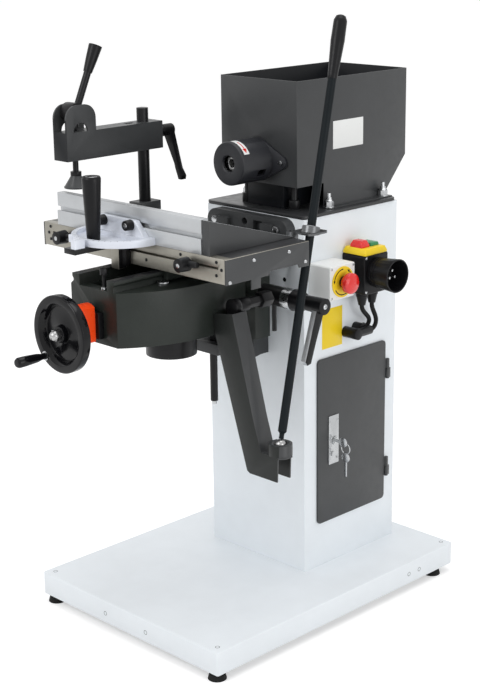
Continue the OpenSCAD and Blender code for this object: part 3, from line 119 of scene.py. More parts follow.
class Coat(Enum):
    """Every finish on the machine, named by its material slot, and one painted shade."""

    WHITE = Finish("white_paint", (0.80, 0.84, 0.875), 0.38, grain=420, relief=0.04, tone=0.025)
    GREY = Finish("grey_paint", (0.040, 0.042, 0.044), 0.40, specular=0.45, grain=620,
                  relief=0.09, tone=0.10)
    DARK = Finish("dark_paint", (0.028, 0.029, 0.031), 0.34, specular=0.4, grain=620,
                  relief=0.07, tone=0.10)
    PANEL = Finish("black_paint", (0.008, 0.009, 0.011), 0.34, specular=0.2, grain=500,
                   relief=0.05, tone=0.10)
    GREY_CAST = Finish("grey_casting", (0.036, 0.038, 0.040), 0.5, Skin.CASTING, specular=0.35,
                       grain=260, relief=0.35, tone=0.14)
    KNEE_CAST = Finish("green_casting", (0.020, 0.024, 0.021), 0.36, Skin.CASTING, specular=0.25,
                       grain=160, relief=0.30, tone=0.16)
    RUBBER = Finish("black_rubber", (0.010, 0.010, 0.010), 0.72, Skin.MOULDED, specular=0.2,
                    grain=900, relief=0.06, tone=0.2)
    BLACK = Finish("black_plastic", (0.006, 0.006, 0.007), 0.34, Skin.MOULDED, specular=0.2,
                   grain=1500, relief=0.03, tone=0.12)
    SATIN_BLACK = Finish("black_plastic", (0.016, 0.017, 0.021), 0.42, Skin.MOULDED,
                         specular=0.45, grain=900, relief=0.04, tone=0.10)
    GLOSS_BLACK = Finish("black_plastic", (0.004, 0.004, 0.005), 0.12, Skin.MOULDED,
                         specular=0.22, grain=260, relief=0.03, tone=0.08)
    LEVER = Finish("black_oxide", (0.009, 0.012, 0.014), 0.45, specular=0.10, grain=500,
                   relief=0.03, tone=0.12)
    # Painted shade: the grey paint darkened for the swing bracket's front faces, which lie in the
    # table's shadow.
    SHADED = Finish("grey_paint", (0.016, 0.018, 0.017), 0.42, specular=0.25, grain=620,
                    relief=0.07, tone=0.10)
    PLATED = Finish("steel", (0.14, 0.145, 0.15), 0.30, Skin.DRAWN, 0.8, grain=700,
                    relief=0.03, tone=0.12)
    WHITE_PLASTIC = Finish("white_plastic", (0.80, 0.81, 0.80), 0.32, Skin.MOULDED, grain=1400,
                           relief=0.02, tone=0.02)
    YELLOW = Finish("yellow_plastic", (0.86, 0.62, 0.02), 0.34, Skin.MOULDED, specular=0.3,
                    grain=1200, relief=0.02, tone=0.03)
    RED = Finish("red_plastic", (0.72, 0.012, 0.010), 0.24, Skin.MOULDED, grain=900,
                 relief=0.02, tone=0.04, coat=0.3)
    GREEN = Finish("green_plastic", (0.02, 0.22, 0.08), 0.3, Skin.MOULDED, grain=900,
                   relief=0.02, tone=0.05)
    ORANGE = Finish("orange_plastic", (1.0, 0.075, 0.010), 0.30, Skin.MOULDED, specular=0.2,
                    grain=900, relief=0.02, tone=0.04)
    ZINC = Finish("zinc", (0.46, 0.47, 0.48), 0.26, Skin.DRAWN, 1.0, grain=900, relief=0.02,
                  tone=0.10)
    STEEL = Finish("steel", (0.42, 0.42, 0.42), 0.28, Skin.DRAWN, 1.0, grain=700, relief=0.03,
                   tone=0.10, stretch=(1.0, 0.08, 1.0))
    MILLED = Finish("milled_steel", (0.33, 0.315, 0.275), 0.40, Skin.DRAWN, 0.9, grain=900,
                    relief=0.05, tone=0.12, stretch=(0.03, 1.0, 1.0))
    OXIDE = Finish("black_oxide", (0.012, 0.012, 0.013), 0.34, Skin.DRAWN, 0.3, specular=0.25,
                   grain=700, relief=0.03, tone=0.2)
    EXTRUDED = Finish("aluminium", (0.50, 0.515, 0.53), 0.36, Skin.DRAWN, 0.7, grain=700,
                      relief=0.03, tone=0.06, stretch=(0.02, 1.0, 1.0))
    CAST_ALU = Finish("cast_aluminium", (0.68, 0.71, 0.78), 0.42, Skin.CASTING, 0.25, grain=420,
                      relief=0.10, tone=0.06)


class Tree:
    """A thin wrapper that adds and links shader nodes."""

    def __init__(self, tree: bpy.types.NodeTree) -> None:
        """Keeps the node tree that the wrapper writes to."""
        self.tree = tree

    def add(self, kind: str, **settings: object) -> bpy.types.Node:
        """Adds a node.

        Args:
            kind: The node's type without its ShaderNode prefix, or a full type name.
            settings: Attributes of the node, or inputs where the name is an input's.

        Returns:
            The new node.
        """
        full = kind if kind.startswith("Node") else "ShaderNode" + kind
        node = self.tree.nodes.new(full)
        for name, value in settings.items():
            label = name.replace("_", " ")
            if hasattr(node, name):
                setattr(node, name, value)
            else:
                node.inputs[label].default_value = value
        return node

    def join(self, source: bpy.types.NodeSocket, target: bpy.types.NodeSocket) -> None:
        """Links an output to an input."""
        self.tree.links.new(source, target)

    def math(self, operation: str, *terms: object) -> bpy.types.NodeSocket:
        """Adds a Math node fed by numbers or sockets and returns its output."""
        node = self.add("Math", operation=operation)
        for socket, term in zip(node.inputs, terms):
            if isinstance(term, (int, float)):
                socket.default_value = term
            else:
                self.join(term, socket)
        return node.outputs[0]


class SurfaceGroups:
    """The shared effects: one node group for each relief and one for tone."""

    detail = {Skin.PAINT: 1.5, Skin.CASTING: 5.0, Skin.DRAWN: 2.0, Skin.MOULDED: 3.0}
    broad_scale = 0.12
    broad_height = 0.5
    dent_limit = 0.35
    dent_height = 0.8
    cloud_scale = 14.0
    cloud_gain = 4.0

    def __init__(self) -> None:
        """Builds every group once."""
        self.relief = {skin: self._relief(skin) for skin in Skin}
        self.tone = self._tone()

    @staticmethod
    def _new(name: str, inputs: Sequence[tuple[str, str]], outputs: Sequence[tuple[str, str]]):
        """Makes an empty group with named sockets and returns it with its wrapper and ends."""
        group = bpy.data.node_groups.new(name, "ShaderNodeTree")
        for label, kind in inputs:
            group.interface.new_socket(label, in_out="INPUT", socket_type="NodeSocket" + kind)
        for label, kind in outputs:
            group.interface.new_socket(label, in_out="OUTPUT", socket_type="NodeSocket" + kind)
        tree = Tree(group)
        return group, tree, tree.add("NodeGroupInput"), tree.add("NodeGroupOutput")

    def _relief(self, skin: Skin) -> bpy.types.NodeTree:
        """Builds the relief of one kind of surface: its height and a mask of its hollows."""
        group, tree, start, end = self._new(
            skin.value, [("Vector", "Vector"), ("Scale", "Float")],
            [("Height", "Float"), ("Mask", "Float")])
        fine = tree.add("TexNoise", Detail=self.detail[skin], Roughness=0.5)
        tree.join(start.outputs["Vector"], fine.inputs["Vector"])
        tree.join(start.outputs["Scale"], fine.inputs["Scale"])
        broad = tree.add("TexNoise", Detail=3.0, Roughness=0.6)
        tree.join(start.outputs["Vector"], broad.inputs["Vector"])
        coarse = tree.math("MULTIPLY", start.outputs["Scale"], self.broad_scale)
        tree.join(coarse, broad.inputs["Scale"])
        height = fine.outputs["Fac"]
        if skin is Skin.CASTING:
            pits = tree.add("TexVoronoi", feature="F1")
            tree.join(start.outputs["Vector"], pits.inputs["Vector"])
            tree.join(start.outputs["Scale"], pits.inputs["Scale"])
            dents = tree.math("MINIMUM", pits.outputs["Distance"], self.dent_limit)
            height = tree.math("MULTIPLY_ADD", dents, self.dent_height, fine.outputs["Fac"])
        mixed = tree.math("MULTIPLY_ADD", broad.outputs["Fac"], self.broad_height, height)
        tree.join(mixed, end.inputs["Height"])
        tree.join(broad.outputs["Fac"], end.inputs["Mask"])
        return group

    def _tone(self) -> bpy.types.NodeTree:
        """Builds the slow change of a colour over a piece."""
        group, tree, start, end = self._new(
            "tone_shift", [("Colour", "Color"), ("Amount", "Float"), ("Vector", "Vector")],
            [("Colour", "Color")])
        cloud = tree.add("TexNoise", Scale=self.cloud_scale, Detail=4.0, Roughness=0.65)
        tree.join(start.outputs["Vector"], cloud.inputs["Vector"])
        offset = tree.math("SUBTRACT", cloud.outputs["Fac"], 0.5)
        gain = tree.math("MULTIPLY_ADD", tree.math("MULTIPLY", offset, self.cloud_gain),
                         start.outputs["Amount"], 1.0)
        tint = tree.add("VectorMath", operation="SCALE")
        tree.join(start.outputs["Colour"], tint.inputs[0])
        tree.join(gain, tint.inputs["Scale"])
        tree.join(tint.outputs[0], end.inputs["Colour"])
        return group


class Workshop:
    """Makes materials and pieces, and hands each piece to its body."""

    def __init__(self) -> None:
        """Builds the shared groups and the empty material store."""
        self.groups = SurfaceGroups()
        self.made: dict[Coat, bpy.types.Material] = {}

    def material(self, coat: Coat) -> bpy.types.Material:
        """Returns the material of a finish, built at its first use."""
        if coat not in self.made:
            self.made[coat] = self._build(coat)
        return self.made[coat]

    def _build(self, coat: Coat) -> bpy.types.Material:
        """Builds a finish's material from the shared groups."""
        finish = coat.value
        material = bpy.data.materials.new(coat.name.lower())
        material.use_nodes = True
        tree = Tree(material.node_tree)
        shader = material.node_tree.nodes["Principled BSDF"]
        shader.inputs["Metallic"].default_value = finish.metallic
        shader.inputs["Coat Weight"].default_value = finish.coat
        shader.inputs["Specular IOR Level"].default_value = finish.specular
        place = tree.add("TexCoord")
        turn = tree.add("Mapping", Scale=finish.stretch)
        tree.join(place.outputs["Object"], turn.inputs["Vector"])

        relief = tree.add("Group", node_tree=self.groups.relief[finish.skin], Scale=finish.grain)
        tree.join(turn.outputs["Vector"], relief.inputs["Vector"])
        bump = tree.add("Bump", Distance=finish.relief * MM, Strength=BUMP_STRENGTH)
        tree.join(relief.outputs["Height"], bump.inputs["Height"])
        tree.join(bump.outputs["Normal"], shader.inputs["Normal"])

        tone = tree.add("Group", node_tree=self.groups.tone, Amount=finish.tone,
                        Colour=(*finish.colour, 1.0))
        tree.join(place.outputs["Object"], tone.inputs["Vector"])
        tree.join(tone.outputs["Colour"], shader.inputs["Base Color"])
        centred = tree.math("SUBTRACT", relief.outputs["Mask"], 0.5)
        rough = tree.math("MULTIPLY_ADD", centred, ROUGHNESS_SPREAD, finish.roughness)
        tree.join(rough, shader.inputs["Roughness"])
        return material

    def piece(self, name: str, shape: bmesh.types.BMesh, coat: Coat, body: str,
              replaced: Sequence[str] = (), zones: Sequence["Zone"] = ()) -> bpy.types.Object:
        """Turns a shape into a finished piece.

        Args:
            name: The piece's name.
            shape: Its mesh, in metres in the part's frame. It is freed.
            coat: Its finish.
            body: The body it rides on.
            replaced: CAD nodes that it stands for.
            zones: Boxes whose faces have another finish.

        Returns:
            The new object.
        """
        coats = [coat] + [zone.coat for zone in zones]
        for face in shape.faces:
            middle = face.calc_center_median() / MM - MACHINE_AT
            for index, zone in enumerate(zones, start=1):
                if zone.holds(middle, face.normal):
                    face.material_index = index
            face.smooth = len(face.verts) <= FLAT_SIDES and not has_level_neighbour(face)
        mesh = bpy.data.meshes.new(name)
        shape.to_mesh(mesh)
        shape.free()
        for entry in coats:
            mesh.materials.append(self.material(entry))
        mesh.set_sharp_from_angle(angle=SHARP_ANGLE)
        thing = bpy.data.objects.new(name, mesh)
        bpy.context.scene.collection.objects.link(thing)
        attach(thing, body)
        if replaced:
            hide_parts(*replaced)
        LOG.info("%s: %d faces on %s", name, len(mesh.polygons), body)
        return thing

    def soften(self, made: "Softened", body: str) -> bpy.types.Object:
        """Builds a piece from a CAD node's shape with its edges rounded.

        A rounding that follows another and takes every direction starts from triangles where
        faces are level with each other, so that no new face closes an opening.

        Args:
            made: Which node, how round, and in which finish.
            body: The body it rides on.

        Returns:
            The new object.
        """
        shape = bmesh.new()
        shape.from_mesh(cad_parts[made.node].data)
        bmesh.ops.remove_doubles(shape, verts=shape.verts, dist=WELD)
        bmesh.ops.dissolve_limit(shape, angle_limit=DISSOLVE_ANGLE, verts=shape.verts,
                                 edges=shape.edges)
        for turn, rounding in enumerate(made.rounds):
            if turn and rounding.along is None:
                level = [face for face in shape.faces if has_level_neighbour(face)]
                bmesh.ops.triangulate(shape, faces=level)
            edges = [edge for edge in shape.edges if rounding.takes(edge)]
            if edges:
                round_edges(shape, edges, rounding.radius, rounding.steps)
        return self.piece(made.node + "_dressed", shape, made.coat, body, (made.node,),
                          made.zones)


@dataclass(frozen=True)
class Zone:
    """A box in the machine's frame whose faces have a finish of their own."""

    coat: Coat
    low: Point = FIRST_CORNER
    high: Point = LAST_CORNER
    facing: Point | None = None

    def holds(self, point: Vector, normal: Vector) -> bool:
        """Says whether a face is in the box and, where that matters, looks the right way.

        Args:
            point: The face's middle in millimetres.
            normal: The face's normal.

        Returns:
            True if the face takes the zone's finish.
        """
        if self.facing and normal.dot(Vector(self.facing).normalized()) < FACING_LIMIT:
            return False
        return in_box(point, self.low, self.high)


@dataclass(frozen=True)
class Round:
    """A rounding of the edges that are sharp enough and lie along some direction."""

    radius: float
    steps: int = 2
    along: Point | None = None
    low: Point = FIRST_CORNER
    high: Point = LAST_CORNER

    def takes(self, edge: bmesh.types.BMEdge) -> bool:
        """Says whether this rounding takes an edge."""
        if len(edge.link_faces) != 2 or edge.calc_face_angle(0.0) < EDGE_ANGLE:
            return False
        ends = [vert.co / MM - MACHINE_AT for vert in edge.verts]
        if not all(in_box(end, self.low, self.high) for end in ends):
            return False
        if self.along is None:
            return True
        run = (ends[1] - ends[0]).normalized()
        return abs(run.dot(Vector(self.along))) > PARALLEL


@dataclass(frozen=True)
class Softened:
    """A CAD node that is shown with rounded edges."""

    node: str
    coat: Coat
    rounds: tuple[Round, ...]
    zones: tuple[Zone, ...] = ()


Skins = tuple[tuple[str, tuple[Softened, ...]], ...]


# ---------------------------------------------------------------- shapes


def has_level_neighbour(face: bmesh.types.BMFace) -> bool:
    """Says whether a face shares its plane with a face beside it."""
    return any(edge.calc_face_angle(math.pi) < LEVEL_ANGLE for edge in face.edges)


def in_box(point: Vector, low: Point, high: Point) -> bool:
    """Says whether a point lies between two corners."""
    return all(least <= value <= most for least, value, most in zip(low, point, high))


def round_edges(shape: bmesh.types.BMesh, edges: list[bmesh.types.BMEdge], radius: float,
                steps: int) -> None:
    """Rounds edges by a radius in millimetres."""
    bmesh.ops.bevel(shape, geom=edges, offset=radius * MM, offset_type="OFFSET",
                    segments=steps, profile=0.5, material=-1, affect="EDGES",
                    clamp_overlap=True)


def pushed(shape: bmesh.types.BMesh, faces: list[bmesh.types.BMFace],
           push: Point) -> bmesh.types.BMesh:
    """Extrudes flat faces along a vector in millimetres and turns the normals outwards."""
    grown = bmesh.ops.extrude_face_region(shape, geom=faces)
    verts = [item for item in grown["geom"] if isinstance(item, bmesh.types.BMVert)]
    bmesh.ops.translate(shape, verts=verts, vec=Vector(push) * MM)
    bmesh.ops.recalc_face_normals(shape, faces=shape.faces)
    return shape


def lathe(profile: Sequence[Span], place: Point, axis: Point, steps: int = 48,
          sweep: float = 360.0, start: Point | None = None) -> bmesh.types.BMesh:
    """Spins a profile of (distance along the axis, radius) pairs round an axis.

    Args:
        profile: The profile's points in millimetres.
        place: The axis's start in the machine's frame.
        axis: The axis's direction.
        steps: Steps of the spin.
        sweep: Angle of the spin in degrees.
        start: Direction in which the spin starts, for a part turn.

    Returns:
        The shape in metres in the part's frame.
    """
    shape = bmesh.new()
    line = Vector(axis).normalized()
    side = Vector(start) if start else line.orthogonal()
    side = (side - side.project(line)).normalized()
    root = at(*place)
    verts = [shape.verts.new(root + (line * along + side * radius) * MM)
             for along, radius in profile]
    edges = [shape.edges.new(pair) for pair in zip(verts, verts[1:])]
    full = sweep >= 360.0
    bmesh.ops.spin(shape, geom=[*verts, *edges], cent=root, axis=line, dvec=(0, 0, 0),
                   angle=math.radians(sweep), steps=steps, use_merge=full)
    bmesh.ops.remove_doubles(shape, verts=shape.verts, dist=WELD)
    bmesh.ops.recalc_face_normals(shape, faces=shape.faces)
    return shape


def slab(outline: Sequence[Point], push: Point) -> bmesh.types.BMesh:
    """Pushes a flat outline along a vector, both in millimetres in the machine's frame."""
    shape = bmesh.new()
    face = shape.faces.new([shape.verts.new(at(*point)) for point in outline])
    return pushed(shape, [face], push)


def holed_slab(outline: Sequence[Point], centre: Point, radius: float,
               push: Point) -> bmesh.types.BMesh:
    """Pushes a level outline with a round hole along a vector, in millimetres."""
    shape = bmesh.new()
    turns = [math.tau * step / HOLE_STEPS for step in range(HOLE_STEPS)]
    rim = [Vector(centre) + Vector((math.cos(a), math.sin(a), 0)) * radius for a in turns]
    for loop in (outline, rim):
        verts = [shape.verts.new(at(*point)) for point in loop]
        for pair in zip(verts, verts[1:] + verts[:1]):
            shape.edges.new(pair)
    bmesh.ops.triangle_fill(shape, edges=shape.edges[:], use_beauty=True)
    return pushed(shape, shape.faces[:], push)


def box(low: Point, high: Point, radius: float) -> bmesh.types.BMesh:
    """Builds a box between two corners, with its edges rounded."""
    shape = bmesh.new()
    bmesh.ops.create_cube(shape, size=1.0)
    size = (Vector(high) - Vector(low)) * MM
    middle = (at(*low) + at(*high)) / 2
    bmesh.ops.transform(shape, matrix=Matrix.Translation(middle) @ Matrix.Diagonal(size).to_4x4(),
                        verts=shape.verts)
    round_edges(shape, shape.edges[:], radius, 2)
    return shape


def together(*shapes: bmesh.types.BMesh) -> bmesh.types.BMesh:
    """Joins shapes into one and frees the others."""
    first = shapes[0]
    for other in shapes[1:]:
        mesh = bpy.data.meshes.new("join")
        other.to_mesh(mesh)
        other.free()
        first.from_mesh(mesh)
        bpy.data.meshes.remove(mesh)
    return first


def pan_head(place: Point, axis: Point, radius: float, height: float) -> bmesh.types.BMesh:
    """Builds a domed screw head with a socket in it."""
    profile = [(height * rise, radius * reach) for rise, reach in PAN_PROFILE]
    return lathe(profile, place, axis, steps=20)


# ---------------------------------------------------------------- sub-assemblies


@dataclass
class Assembly:
    """A group of pieces; its softened nodes are dressed first, then its own details."""

    shop: Workshop
    skins: Skins = ()

    def build(self) -> None:
        """Dresses the softened nodes of every body, then adds the details."""
        for body, softened in self.skins:
            for entry in softened:
                self.shop.soften(entry, body)
        self.details()

    def details(self) -> None:
        """Adds the pieces that the solids do not have; a plain group has none."""


SHEET = (Round(0.7),)
FINE = (Round(0.35),)
BROAD = (Round(1.2, 3),)


@dataclass
class Stand(Assembly):
    """The base tray, the cabinet and what closes its top."""

    skirt_holes: tuple[Point, ...] = ((-60, -245, 36), (58, -245, 36))
    side_holes: tuple[Point, ...] = ((255, 300, 37), (255, 333, 37))
    top_holes: tuple[Point, ...] = ((-237, -227, 63), (237, -227, 63), (-237, 427, 63),
                                    (237, 427, 63))
    wall_hole: Point = (79.9, 119, 661.8)
    rim: Profile = ((-0.4, 4.4), (0.12, 4.4), (0.15, 3.6), (-1.8, 3.0), (-1.8, 0))
    plate: Corners = ((131.4, 170, 519), (131.9, 229, 599))
    skins: Skins = (
        ("frame", (
            Softened("base_tray", Coat.WHITE, (
                Round(4.0, 4, (0, 0, 1), (254, -300, 0), (256, 500, 70)),
                Round(4.0, 4, (0, 0, 1), (-256, -300, 0), (-254, 500, 70)),
                Round(1.2, 3),
            )),
            Softened("cabinet", Coat.WHITE, (Round(4.5, 5, (0, 0, 1)), Round(0.7))),
            Softened("base_feet", Coat.RUBBER, (Round(0.8),),
                     (Zone(Coat.ZINC, (-300, -300, 11.2), (300, 500, 70)),)),
            Softened("top_gasket", Coat.RUBBER, FINE),
            Softened("top_plate", Coat.DARK, SHEET),
            Softened("head_bolts", Coat.ZINC, FINE,
                     (Zone(Coat.OXIDE, (-76, 150, 791.9), (76, 180, 841)),)),
        )),
    )

    def details(self) -> None:
        """Adds the sheet's holes as black cups of painted shade, and the bare yellow plate on the
        wall.
        """
        holes = ((self.skirt_holes, FRONT), (self.side_holes, RIGHT), (self.top_holes, UP),
                 ((self.wall_hole,), FRONT))
        # Each hole is a shallow cup in black paint: painted shade for the dark inside of the hole.
        rims = [lathe(self.rim, place, axis, steps=20)
                for places, axis in holes for place in places]
        self.shop.piece("sheet_holes", together(*rims), Coat.PANEL, "frame")
        self.shop.piece("wall_plate", box(*self.plate, 0.2), Coat.YELLOW, "frame")


@dataclass
class Door(Assembly):
    """The door with its hinges, lock and keys."""

    skins: Skins = (
        ("frame", (Softened("door_hinges", Coat.GREY, FINE),)),
        ("door", (Softened("door", Coat.GREY, (Round(1.3, 3),)),
                  Softened("door_lock", Coat.ZINC, FINE))),
        ("door_key", (Softened("door_key", Coat.ZINC, FINE),)),
    )
    rivets: tuple[Point, ...] = ((138.3, 186, 368), (138.3, 186, 288), (138.3, 209, 368),
                                 (138.3, 209, 288))
    rivet: Span = (2.2, 1.0)

    def details(self) -> None:
        """Adds the rivets of the lock plate."""
        heads = [pan_head(place, RIGHT, *self.rivet) for place in self.rivets]
        self.shop.piece("lock_rivets", together(*heads), Coat.ZINC, "door")


@dataclass
class Column(Assembly):
    """The column casting and the fixed nut."""

    skins: Skins = (
        ("frame", (
            Softened("column_casting", Coat.GREY_CAST, (Round(2.0, 3),)),
            Softened("screw_nut", Coat.GREY_CAST, (Round(1.5, 3),)),
        )),
    )


@dataclass
class MotorHead(Assembly):
    """The motor, its cover, and the chuck in its guard."""

    axis_z: float = 886.5
    guard_r: float = 42.0
    band_lift: float = 0.15
    band_y: Span = (57.0, 71.0)
    arrow_lift: float = 0.1
    arrow_half: float = 1.1
    arrow_tip: Profile = ((44, 4.2), (47, 3.0), (50, 1.8), (53, 0.8))
    plate: Corners = ((101.9, 233, 903), (102.5, 321, 957))
    nuts: tuple[Point, ...] = ((-111, 212, 794), (111, 212, 794), (-111, 373, 794),
                               (111, 373, 794))
    washer: Profile = ((0, 10.5), (2, 10.5), (2, 8))
    hexagon: Profile = ((2, 9.6), (11, 9.6), (11, 6))
    stud: Profile = ((11, 8.6), (13, 8.6), (13.5, 6), (20, 5.6), (20, 3.9))
    skins: Skins = (
        ("frame", (
            Softened("motor_cover", Coat.GREY, (Round(2.5, 3, (0, 0, 1)), Round(0.6)),
                     (Zone(Coat.PANEL, (-100.1, 133.9, 794), (100.1, 451.1, 1040.5)),)),
            Softened("cover_panel", Coat.PANEL, SHEET),
            Softened("motor_body", Coat.PANEL, BROAD),
            Softened("motor_bearings", Coat.ZINC, FINE),
            Softened("chuck_guard", Coat.SATIN_BLACK,
                     (Round(3.0, 4, None, (-60, 49, 830), (60, 51, 940)), Round(0.9))),
        )),
        ("spindle", (
            Softened("motor_shaft", Coat.STEEL, FINE),
            Softened("chuck", Coat.STEEL, FINE),
        )),
    )

    def details(self) -> None:
        """Adds the cover's nuts, the bare rating plate and the guard's band with its arrow."""
        nuts = [lathe(profile, place, UP, steps) for place in self.nuts
                for profile, steps in ((self.washer, 32), (self.hexagon, 6), (self.stud, 32))]
        self.shop.piece("cover_nuts", together(*nuts), Coat.ZINC, "frame")
        self.shop.piece("rating_plate", box(*self.plate, 0.25), Coat.WHITE_PLASTIC, "frame")
        low, high = self.band_y
        centre = (0, 0, self.axis_z)
        r = self.guard_r + self.band_lift
        band = lathe([(low, r), (high, r)], centre, BACK, steps=24, sweep=64, start=(-0.05, 0, 1))
        self.shop.piece("guard_band", band, Coat.WHITE_PLASTIC, "frame")
        middle = (low + high) / 2
        r += self.arrow_lift
        shaft = lathe([(middle - self.arrow_half, r), (middle + self.arrow_half, r)], centre, BACK,
                      steps=12, sweep=32, start=(0.25, 0, 1))
        heads = [lathe([(middle - width, r), (middle + width, r)], centre, BACK, steps=1, sweep=4,
                       start=(math.sin(math.radians(turn)), 0, math.cos(math.radians(turn))))
                 for turn, width in self.arrow_tip]
        self.shop.piece("turning_arrow", together(shaft, *heads), Coat.RED, "frame")


@dataclass
class Controls(Assembly):
    """The stop box, the switch box, the inlet and their leads on the right wall.

    The legend's marks are given as (angle, radius) pairs round the stop button.
    """

    stop_at: Point = (187.0, 166.5, 666.5)
    stop_screws: tuple[Point, ...] = ((187.0, 136, 638), (187.0, 197, 638), (187.0, 136, 695),
                                      (187.0, 197, 695))
    stop_screw: Span = (2.6, 1.2)
    switch_screws: tuple[Point, ...] = ((189, 234, 700), (189, 234, 633), (189, 292, 633))
    switch_screw: Span = (3.0, 1.4)
    legend_x: float = 2.0
    mark_turns: tuple[float, ...] = (90, 210, 330)
    mark_arc: Profile = ((2.12, 24.0), (2.12, 26.2))
    mark_sweep: float = 78
    mark_tip: Profile = ((78, 22.4), (78, 27.8), (92, 25.1))
    inlet_at: Point = (189, 263, 669)
    inlet_rings: Profile = ((2, 28.1), (8, 28.6), (14, 29.2))
    ring_size: Span = (2.2, 1.2)
    skins: Skins = (
        ("frame", (
            Softened("stop_box", Coat.WHITE_PLASTIC, (Round(1.6, 3),)),
            Softened("stop_legend", Coat.YELLOW, FINE),
            Softened("switch_box", Coat.BLACK, (Round(1.8, 3),)),
            Softened("switch_base", Coat.YELLOW, (Round(1.2, 3),)),
            Softened("power_inlet", Coat.BLACK, (Round(0.8),),
                     (Zone(Coat.ZINC, (205.5, 250.5, 656), (231, 275.5, 682)),)),
            Softened("cable_glands", Coat.BLACK, (Round(0.9),)),
            Softened("leads", Coat.RUBBER, ()),
        )),
        ("stop_button", (
            Softened("stop_button", Coat.RED, (Round(1.2, 3),),
                     (Zone(Coat.BLACK, (160, 140, 640), (196.8, 190, 690)),)),)),
        ("off_button", (Softened("off_button", Coat.RED, (Round(1.4, 3),)),)),
        ("start_button", (Softened("start_button", Coat.GREEN, (Round(0.9, 3),)),)),
    )

    def on_legend(self, turn: float, radius: float) -> Point:
        """Returns a point of the legend's face at an angle and a radius round the button."""
        x, y, z = self.stop_at
        a = math.radians(turn)
        return (x + self.legend_x, y + math.cos(a) * radius, z + math.sin(a) * radius)

    def details(self) -> None:
        """Adds the screws of the boxes, the legend's turning marks and the inlet's rings."""
        heads = [pan_head(place, RIGHT, *self.stop_screw) for place in self.stop_screws]
        heads += [pan_head(place, RIGHT, *self.switch_screw) for place in self.switch_screws]
        self.shop.piece("box_screws", together(*heads), Coat.ZINC, "frame")
        marks = []
        for turn in self.mark_turns:
            a = math.radians(turn)
            marks.append(lathe(self.mark_arc, self.stop_at, RIGHT, 16, self.mark_sweep,
                               (0, math.cos(a), math.sin(a))))
            tip = [self.on_legend(turn + onward, radius) for onward, radius in self.mark_tip]
            marks.append(slab(tip, (0.12, 0, 0)))
        self.shop.piece("turning_marks", together(*marks), Coat.PANEL, "frame")
        x, y, z = self.inlet_at
        long, thick = self.ring_size
        rings = [lathe([(0, r), (0, r + thick), (long, r + thick), (long, r)], (x + off, y, z),
                       RIGHT, 56)
                 for off, r in self.inlet_rings]
        self.shop.piece("inlet_rings", together(*rings), Coat.BLACK, "frame")


@dataclass
class Knee(Assembly):
    """The knee casting with the fittings, the lock and the counter that ride on it."""

    window: Corners = ((-9, -345, 682.2), (9, -331, 683.8))
    screw_at: Point = (250, 48, 651)
    screw: Span = (5.0, 2.0)
    skins: Skins = (
        ("knee", (
            Softened("knee", Coat.KNEE_CAST, (Round(1.6, 3),),
                     (Zone(Coat.DARK, (-60, -291, 726.5), (60, 45, 728)),)),
            Softened("knee_fittings", Coat.OXIDE, (Round(0.7),),
                     (Zone(Coat.ZINC, (45, -200, 706), (80, -160, 716)),
                      Zone(Coat.ZINC, (18, -292, 706), (30, -276, 712.4)))),
            # The bracket's front faces take the darker grey of painted shade, standing in for the
            # table's shadow.
            Softened("swing_bracket", Coat.GREY, (Round(0.8),),
                     (Zone(Coat.SHADED, facing=(0, -1, 0)),)),
            Softened("lock_sleeve", Coat.OXIDE, (Round(0.8),),
                     (Zone(Coat.ZINC, (151.8, 20, 620), (175, 80, 680)),)),
            Softened("position_counter", Coat.ORANGE, (Round(1.5, 3),),
                     (Zone(Coat.BLACK, (-31, -302.1, 600), (31, -289, 700)),)),
        )),
        ("lock_lever", (
            Softened("lock_lever", Coat.BLACK, (Round(1.8, 3),),
                     (Zone(Coat.EXTRUDED, (225, -60, 500), (245, 40, 640), (0, -1, 0)),)),
        )),
    )

    def details(self) -> None:
        """Adds the counter's window and the cap screw on the lock's hub."""
        self.shop.piece("counter_window", box(*self.window, 0.6), Coat.PANEL, "knee")
        screw = pan_head(self.screw_at, RIGHT, *self.screw)
        self.shop.piece("lock_screw", screw, Coat.ZINC, "lock_lever")


